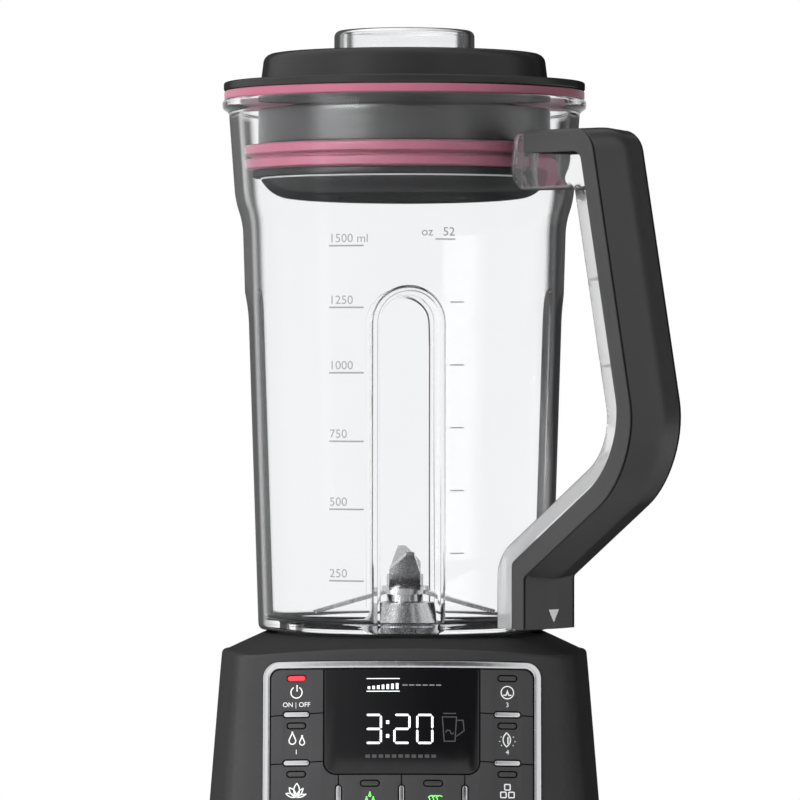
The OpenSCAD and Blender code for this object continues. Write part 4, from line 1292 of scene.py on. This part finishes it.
class BLENDERPART_OT_jug(bpy.types.Operator):
    """Models the clear jug with its flutes, collar and rim"""

    bl_idname = "blenderpart.jug"
    bl_label = "Jug"

    BORE = 16
    # Drop of a flute's round top from the shoulder, its lower end, how far it reaches out and its edge
    FLUTE_DROP, FLUTE_FOOT, FLUTE_OUT, FLUTE_EDGE = 39, -14, 8, 0.8

    def flutes(self, jug, grow):
        """Four upright presses with a round top and steep sides, one for each flute."""
        foot, shoulder, depth = mm(jug.foot), mm(jug.rim) - SHOULDER_DROP, mm(jug.flute_depth)
        lean = math.atan((mm(jug.top_r) - mm(jug.low_r)) / (shoulder - foot))
        slope = math.tan(jug.flute_side)
        half = mm(jug.flute_half) + grow * (1 / math.cos(jug.flute_side) - slope)
        arch, reach = shoulder - self.FLUTE_DROP - foot, depth + grow + self.FLUTE_OUT
        wide = 1 + reach * slope / half
        low, top = self.FLUTE_FOOT, arch + half
        presses = []
        for quarter in range(4):
            press = plate([(-half, low), (half, low), (half, top), (-half, top)], 0, reach,
                          half * 0.99, (2, 3), 16)
            bmesh.ops.scale(press, vec=(wide, wide, 1), space=Matrix.Translation((0, -arch, 0)),
                            verts=[v for v in press.verts if v.co.z > 1])
            soften(press, self.FLUTE_EDGE, only=lambda e: all(v.co.z < 1 for v in e.verts))
            turn = (Matrix.Rotation(quarter * math.pi / 2 + jug.flute_turn, 4, "Z")
                    @ Matrix.Translation((mm(jug.low_r) - depth - grow, 0, foot))
                    @ Matrix.Rotation(lean, 4, "Y") @ UPRIGHT.to_4x4())
            bmesh.ops.transform(press, matrix=turn, verts=press.verts)
            presses.append(press)
        return presses

    def execute(self, context):
        jug = settings().jug
        foot, rim, wall, well = mm(jug.foot), mm(jug.rim), mm(jug.wall), WELL_R
        low_r, top_r, collar = mm(jug.low_r) - wall, mm(jug.top_r) - wall, mm(jug.collar_r)
        hollow = lathe([
            (0, foot - 5, 0), (well, foot - 5, 2), (well, foot + 4, 1.5), (low_r, foot + 4, 3),
            (top_r, rim - SHOULDER_DROP, 4), (collar - 4, rim - COLLAR_DROP, 4),
            (collar - 1.5, rim - LIP_DROP, 2), (collar - 1.5, rim + 3, 0), (0, rim + 3, 0)], 256)
        body = carve(jug_solid(self.BORE), self.flutes(jug, 0))
        body = carve(body, [carve(hollow, self.flutes(jug, wall))])
        tidy(body)
        piece(body, "clear_jug_wall", "jug", "clear_jug", ["jug"], 24)
        return {"FINISHED"}


class BLENDERPART_OT_scale(bpy.types.Operator):
    """Prints the volume marks on the jug"""

    bl_idname = "blenderpart.scale"
    bl_label = "Volume marks"

    # Millilitres and height in millimetres of each mark on the left
    MARKS = ((250, 192.2), (500, 219.1), (750, 244.6), (1000, 270.3), (1250, 294.8), (1500, 317.9))
    # Ounces on the right, millilitres in an ounce and rise in millimetres for a millilitre
    OUNCES, OUNCE, RISE = range(12, 60, 8), 29.57, 0.0995
    LOW, THICK, LETTER_H, LETTER_RISE = 0.02, 0.05, 3.2, 1.3

    def mark(self, length, width, at):
        """One level line of the scale."""
        line = plate(oblong(length, width, at), self.LOW, self.LOW + self.THICK)
        slice_up(line, 1.5, 30)
        return line

    def label(self, text, left, height):
        """Figures above a line."""
        at = (left, height + self.LETTER_RISE)
        return lettering(text, self.LETTER_H, at, self.LOW, self.THICK, "LEFT")

    def execute(self, context):
        parts = []
        first, lowest = self.MARKS[0]
        for volume, height in self.MARKS:
            unit = " ml" if volume == self.MARKS[-1][0] else ""
            parts += [self.mark(13.1, 0.6, (-20.95, height)), self.label(f"{volume}{unit}", -27.5, height)]
        for ounces in self.OUNCES:
            height = lowest + (ounces * self.OUNCE - first) * self.RISE
            if ounces < self.OUNCES[-1]:
                parts.append(self.mark(5, 0.45, (20.5, height)))
            else:
                parts.append(self.mark(7.5, 0.45, (16.2, height)))
                parts += [self.label("oz", 7.2, height), self.label(str(ounces), 15.2, height)]
        # The marks are white print drawn in painted shade
        piece(on_jug(join(parts)), "volume_marks", "jug", "scale_print")
        return {"FINISHED"}


def shifted(run, depths):
    """Corners of a line that runs beside another one, at a depth for each stretch."""
    ways = [(Vector(b) - Vector(a)).normalized() for a, b in zip(run, run[1:])]
    feet = [Vector(a) + Vector((way.y, -way.x)) * depth for a, way, depth in zip(run, ways, depths)]
    corners = [feet[0]]
    for i in range(1, len(ways)):
        way, other, apart = ways[i - 1], ways[i], feet[i] - feet[i - 1]
        corners.append(feet[i - 1] + way * (apart.cross(other) / way.cross(other)))
    return corners + [Vector(run[-1]) + Vector((ways[-1].y, -ways[-1].x)) * depths[-1]]


class BLENDERPART_OT_handle(bpy.types.Operator):
    """Models the clear handle core, its cross ribs and the dark grip round its back"""

    bl_idname = "blenderpart.handle"
    bl_label = "Handle"

    OUTER_ROUND = (10, 42, 2)
    BACK_ROUND = (4, 36, 3)
    CORE_ROUND = (8, 24, 16)
    ARM_T, KNEE_MORE, HEEL_LESS = 8.4, 1.6, 0.5
    ARM_CROWN = 0.3
    # Share of the half width, and how far the outer and the inner face of the grip lie in there
    GRIP_EDGE = ((1.0, 4.4, 0.6), (0.985, 3.2, 0.0), (0.955, 0.8, 0.0), (0.945, 0.1, 0.0),
                 (0.925, -0.1, 0.0), (0.905, 0.7, 0.0), (0.875, 0.7, 0.0), (0.855, -0.2, 0.0))
    GRIP_ROOF = (0.6, 0.3, 0.15)
    CORE_START, CORE_EDGE, BOSS_TOP, BOSS_LOW, BOSS_H = 57, 2.6, 4.5, 8.5, 22
    CORE_STEPS = (1.0, 0.97, 0.9, 0.78, 0.6, 0.35)
    RIB_HEIGHTS = (338.4, 304.7, 272.5)
    KNEE_RIB, KNEE_RIB_LEAN = 0.62, -22
    # Corners of the arrow, across the foot and above its underside
    ARROW = ((-2.7, 7.3), (0, 2.6), (2.7, 7.3))

    def rounded_loop(self, bm, corners, y):
        """A closed line in the plane of the handle, with round corners."""
        verts = closed_line(bm, [(r, z) for r, z, _ in corners])
        for vert in verts:
            vert.co.y = y
        for vert, (_, _, radius) in zip(verts, corners):
            if not radius:
                continue
            ways = [(e.other_vert(vert).co - vert.co).normalized() for e in vert.link_edges]
            half = ways[0].angle(ways[1]) / 2
            apex = radius / math.sin(half) - radius
            round_off(bm, [vert], apex / ((2 - math.sqrt(2)) * math.cos(half)), 14)

    def loft(self, slices):
        """A solid through closed lines at several places across the handle."""
        bm = bmesh.new()
        loops = []
        for y, corners in slices:
            old = set(bm.edges)
            self.rounded_loop(bm, corners, y)
            loops.append([e for e in bm.edges if e not in old])
        for a, b in zip(loops, loops[1:]):
            bmesh.ops.bridge_loops(bm, edges=a + b)
        for loop in (loops[0], loops[-1]):
            bmesh.ops.contextual_create(bm, geom=loop)
        tidy(bm)
        return bm

    def turned(self, bm):
        """Swings a handle piece from the right to where the handle stands."""
        turn = Matrix.Rotation(settings().handle.turn, 3, "Z")
        bmesh.ops.rotate(bm, cent=(0, 0, 0), verts=bm.verts, matrix=turn)
        return bm

    def run(self):
        """Corners of the outer face as radius and height."""
        h = settings().handle
        corners = ((h.arm_start, h.arm_z), (h.arm_reach, h.arm_z), (h.knee_reach, h.knee_z),
                   (h.heel_reach, h.heel_z), (h.heel_reach, h.foot_z))
        return [(mm(r), mm(z)) for r, z in corners]

    def back_depths(self, back=0.0):
        """Depth of the back of the grip along the arm, down to the knee, down to the heel and at the foot."""
        t = mm(settings().handle.grip_t)
        return [depth - back for depth in (self.ARM_T, t, t + self.KNEE_MORE, t - self.HEEL_LESS)]

    def outline(self, corners, rounding):
        """Corners of a line with their rounding, its two ends sharp."""
        return [(p.x, p.y, r) for p, r in zip(corners, (0,) + rounding + (0,))]

    def grip_section(self, front, back):
        """Outline of the grip with its outer and inner faces moved in."""
        outer = shifted(self.run(), (front * self.ARM_CROWN, front, front, front))
        inner = shifted(self.run(), self.back_depths(back))
        return self.outline(outer, self.OUTER_ROUND) + self.outline(inner, self.BACK_ROUND)[::-1]

    def grip(self):
        """The dark grip: flat sides, rounded edges and a crowned outer face."""
        h = settings().handle
        half, crown = mm(h.width) / 2, mm(h.crown)
        start, level, _ = self.GRIP_EDGE[-1]
        across = list(self.GRIP_EDGE)
        across += [(share, level - crown * (1 - share / start), 0.0) for share in self.GRIP_ROOF]
        slices = [(-share * half, front, back) for share, front, back in across]
        slices.append((0, level - crown * 0.9, 0))
        slices += [(share * half, front, back) for share, front, back in across[::-1]]
        bm = self.loft([(y, self.grip_section(front, back)) for y, front, back in slices])
        piece(self.turned(bm), "grip_cover", "jug", "grip_black", ["grip"], 30)

    def core_lines(self, boss=0.0, edge=0.0):
        """Back and inner line of the clear core, the inner one pulled in at the collar and elsewhere."""
        h = settings().handle
        both = mm(h.grip_t) + mm(h.core_t) - edge
        foot = mm(h.heel_reach) - mm(settings().jug.low_r) + 1 - edge
        run = [(self.CORE_START, mm(h.arm_z))] + self.run()[1:]
        return shifted(run, self.back_depths()), shifted(run, (self.BOSS_H - boss, both, both, foot))

    def core_section(self, across):
        """Outline of the clear core at a place across it, with its long edges and its end rounded."""
        h = settings().handle

        def fall(radius):
            """How far an edge of a radius has fallen off here."""
            into = max(0, abs(across) - mm(h.core_w) / 2 + radius)
            return radius - math.sqrt(radius * radius - into * into)

        back, inner = self.core_lines(fall(self.BOSS_LOW), fall(self.CORE_EDGE))
        top, start = mm(h.arm_z) - 0.4 - fall(self.BOSS_TOP), mm(h.arm_start) - 0.3
        shape = [(self.CORE_START, top, 0), (start, top, 0), (start, back[0].y, 0)]
        return shape + self.outline(back, self.BACK_ROUND)[1:] + self.outline(inner, self.CORE_ROUND)[::-1]

    def core(self):
        """The clear core, cut to the jug."""
        half = mm(settings().handle.core_w) / 2
        places = [-share * half for share in self.CORE_STEPS] + [0]
        places += [share * half for share in self.CORE_STEPS[::-1]]
        bm = self.loft([(y, self.core_section(y)) for y in places])
        return carve(self.turned(bm), [jug_solid(0)])

    def ribs(self):
        """Thin cross walls inside the clear core."""
        h = settings().handle
        back, inner = self.core_lines()
        way = (inner[1] - inner[2]).normalized()
        inwards = Vector((way.y, -way.x)) * mm(h.core_t) / 2
        places = []
        for height in self.RIB_HEIGHTS:
            share = (height - inner[2].y) / (inner[1].y - inner[2].y)
            places.append((inner[2].lerp(inner[1], share) + inwards, math.atan2(way.x, way.y)))
        places.append((inner[2].lerp(back[2], self.KNEE_RIB), math.radians(self.KNEE_RIB_LEAN)))
        bm = bmesh.new()
        for middle, lean in places:
            place = (Matrix.Translation((middle.x, 0, middle.y)) @ Matrix.Rotation(lean, 4, "Y")
                     @ Matrix.Diagonal((mm(h.core_t) - 1.6, mm(h.core_w) - 3, mm(h.rib), 1)))
            bmesh.ops.create_cube(bm, size=1, matrix=place)
        return bm

    def arrow(self):
        """A plain arrow on the foot that shows where the jug drops in."""
        h = settings().handle
        face = mm(h.heel_reach) + 0.2 + mm(h.crown)
        foot = mm(h.foot_z)
        bm = plate([(across, foot + up) for across, up in self.ARROW], -0.15, 0.05, 0.3, steps=3)
        bmesh.ops.rotate(bm, cent=(0, 0, 0), verts=bm.verts, matrix=UPRIGHT)
        bmesh.ops.translate(bm, vec=(face, 0, 0), verts=bm.verts)
        return bm

    def execute(self, context):
        self.grip()
        piece(self.core(), "clear_handle_core", "jug", "clear_handle", ["handle_core"], 30)
        # The ribs carry painted shade: dark plastic in place of clear walls
        piece(self.turned(self.ribs()), "core_ribs", "jug", "smoky_rib")
        piece(self.turned(self.arrow()), "grip_arrow", "jug", "white_print")
        return {"FINISHED"}


def lid_levels():
    """Heights under the flange of the lid, over it and on top of the crown."""
    lid = settings().lid
    under = mm(settings().jug.rim) + mm(lid.seal_t)
    over = under + mm(lid.flange_t)
    return under, over, over + mm(lid.crown_h)


class BLENDERPART_OT_lid(bpy.types.Operator):
    """Models the lid shell, its two seals and the insert under it"""

    bl_idname = "blenderpart.lid"
    bl_label = "Lid"

    WALL = 2.5
    GROOVE = 3.4

    def execute(self, context):
        lid = settings().lid
        rim = mm(settings().jug.rim)
        flange, crown, plug, tube = mm(lid.flange_r), mm(lid.crown_r), mm(lid.plug_r), mm(lid.tube_r)
        under, over, top = lid_levels()
        fin_top = rim - mm(lid.fin_drop)
        fin_low = fin_top - mm(lid.fin_h)
        low = fin_low - mm(lid.insert_h)
        wall = self.WALL
        shell = lathe([
            (tube, low + wall, 0), (tube + wall, low + wall, 0), (tube + wall, top - wall, 0.8),
            (crown - 7.2, top - wall, 1), (crown - 4.2, top - 5.5, 1), (plug - 4, over, 0),
            (plug - wall, under, 0), (plug - wall, fin_low, 0), (plug, fin_low, 0.3), (plug, under, 0.4),
            (flange, under, 0.9), (flange, over - 0.5, 0.9), (crown + 0.5, over, 0.3),
            (crown - 0.8, top, 3.2), (tube, top, 0.6)])
        piece(shell, "lid_cover", "lid", "lid_grey", ["lid_shell"])
        seal = lathe([(plug, rim, 0), (flange - 0.2, rim, 0.7), (flange - 0.2, under, 0.7), (plug, under, 0)])
        piece(seal, "rim_gasket", "lid", "rose_seal", ["rim_seal"])
        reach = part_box("plug_seal")
        fin = mm(reach[1].x - reach[0].x) / 2
        band = plug + 1.6
        seal = lathe([
            (plug, fin_low, 0), (band, fin_low, 0.2), (fin, fin_low + 0.6, 0.5), (fin, fin_low + 4, 0.5),
            (band, fin_low + 4.6, 0.15), (band, fin_top - 4.6, 0.15), (fin, fin_top - 4, 0.5),
            (fin, fin_top - 0.6, 0.5), (band, fin_top, 0.2), (plug, fin_top, 0)])
        piece(seal, "plug_gasket", "lid", "rose_seal", ["plug_seal"])
        groove = fin_low - self.GROOVE
        insert = lathe([
            (tube, low, 0), (50.5, low, 5), (plug - 1.2, groove - 0.6, 0.5), (plug - 1.2, groove, 0.2),
            (plug - 2, groove, 0), (plug - 2, groove + 0.7, 0), (plug + 2.3, groove + 0.7, 0.5),
            (plug + 2.3, fin_low, 0.4), (plug - 6, fin_low, 0), (plug - 6, fin_low - 5, 0),
            (46, low + wall, 0), (tube, low + wall, 0)])
        piece(insert, "lid_underside", "lid", "lid_grey", ["lid_insert"])
        # A thin white ring in the groove under the plug seal: painted light where light shows through the gap
        # between lid and insert
        gap_light_ring = lathe([
            (plug - 1.8, groove + 0.05, 0), (plug - 0.8, groove + 0.05, 0.2),
            (plug - 0.8, groove + 0.65, 0.2), (plug - 1.8, groove + 0.65, 0)])
        piece(gap_light_ring, "insert_bead", "lid", "white_print")
        return {"FINISHED"}


class BLENDERPART_OT_cap(bpy.types.Operator):
    """Models the clear filler cap"""

    bl_idname = "blenderpart.cap"
    bl_label = "Filler cap"

    PLAY, WALL = 1.2, 2

    def execute(self, context):
        lid = settings().lid
        seat = lid_levels()[2]
        out, brim, wall = mm(lid.tube_r) - self.PLAY, mm(lid.cap_r), self.WALL
        top, low = seat + mm(lid.cap_h), seat - mm(lid.cap_deep)
        cap = lathe([
            (0, low, 0), (out, low, 1.4), (out, seat, 0.4), (brim, seat, 0.5), (brim, top, 2.4),
            (out - 0.2, top, 0.5), (out - wall, top - 1.5, 0.6), (out - wall, low + wall, 1.4),
            (0, low + wall, 0)])
        piece(cap, "clear_cap", "cap", "clear_cap", ["filler_cap"])
        return {"FINISHED"}


class BLENDERPART_OT_carried(bpy.types.Operator):
    """Gives the solid parts that stay in sight their finishes"""

    bl_idname = "blenderpart.carried"
    bl_label = "Other parts"

    def execute(self, context):
        paint("inner_black", "base_plate", "jug_seat", "keypad_carrier", "fan_shroud", "cooling_fan",
              "drive_coupling", "jug_coupling", "jug_foot", "housing_nut", "key_switches")
        paint("display_black", "display_module")
        paint("rose_seal", "cap_seal", "blade_seal")
        paint("black_rubber", "rubber_feet", "seat_mat", "shaft_seal", "cord_gland", "motor_dampers")
        paint("steel", "plate_screws", "motor_shaft", "blade_shaft", "blade_spacer", "lower_blade",
              "upper_blade", "blade_nut", "motor_bearings", "blade_bearings", "bearing_housing")
        paint("cast_metal", "upper_bracket", "lower_bracket")
        paint("core_steel", "stator_core", "armature")
        paint("copper_wire", "field_windings", "commutator", "brush_holders")
        paint("board_green", "control_board", "power_board")
        return {"FINISHED"}


class BLENDERPART_PT_sidebar(bpy.types.Panel):
    """Lists the sizes, the colours and the steps"""

    bl_label = "Vacuum blender"
    bl_idname = "BLENDERPART_PT_sidebar"
    bl_space_type = "VIEW_3D"
    bl_region_type = "UI"
    bl_category = "Vacuum blender"

    def draw(self, context):
        groups = context.scene.vacuum_blender
        for name in BlenderSettings.__annotations__:
            box = self.layout.box()
            box.label(text=name.capitalize())
            group = getattr(groups, name)
            for setting in group.__annotations__:
                box.prop(group, setting)
        for operator in OPERATORS:
            self.layout.operator(operator.bl_idname)


OPERATORS = (
    BLENDERPART_OT_stage, BLENDERPART_OT_housing, BLENDERPART_OT_panel, BLENDERPART_OT_keys,
    BLENDERPART_OT_symbols, BLENDERPART_OT_display, BLENDERPART_OT_jug, BLENDERPART_OT_scale,
    BLENDERPART_OT_handle, BLENDERPART_OT_lid, BLENDERPART_OT_cap, BLENDERPART_OT_carried,
)
GROUPS = (BaseSizes, PanelSizes, JugSizes, HandleSizes, LidSizes, StageSizes, Finishes, BlenderSettings)
CLASSES = GROUPS + OPERATORS + (BLENDERPART_PT_sidebar,)


def register():
    for cls in CLASSES:
        bpy.utils.register_class(cls)
    bpy.types.Scene.vacuum_blender = PointerProperty(type=BlenderSettings)


def unregister():
    del bpy.types.Scene.vacuum_blender
    for cls in reversed(CLASSES):
        bpy.utils.unregister_class(cls)


def main():
    """Builds every piece."""
    register()
    mix_finishes()
    for operator in OPERATORS:
        group, name = operator.bl_idname.split(".")
        getattr(getattr(bpy.ops, group), name)()


if __name__ == "__main__":
    main()
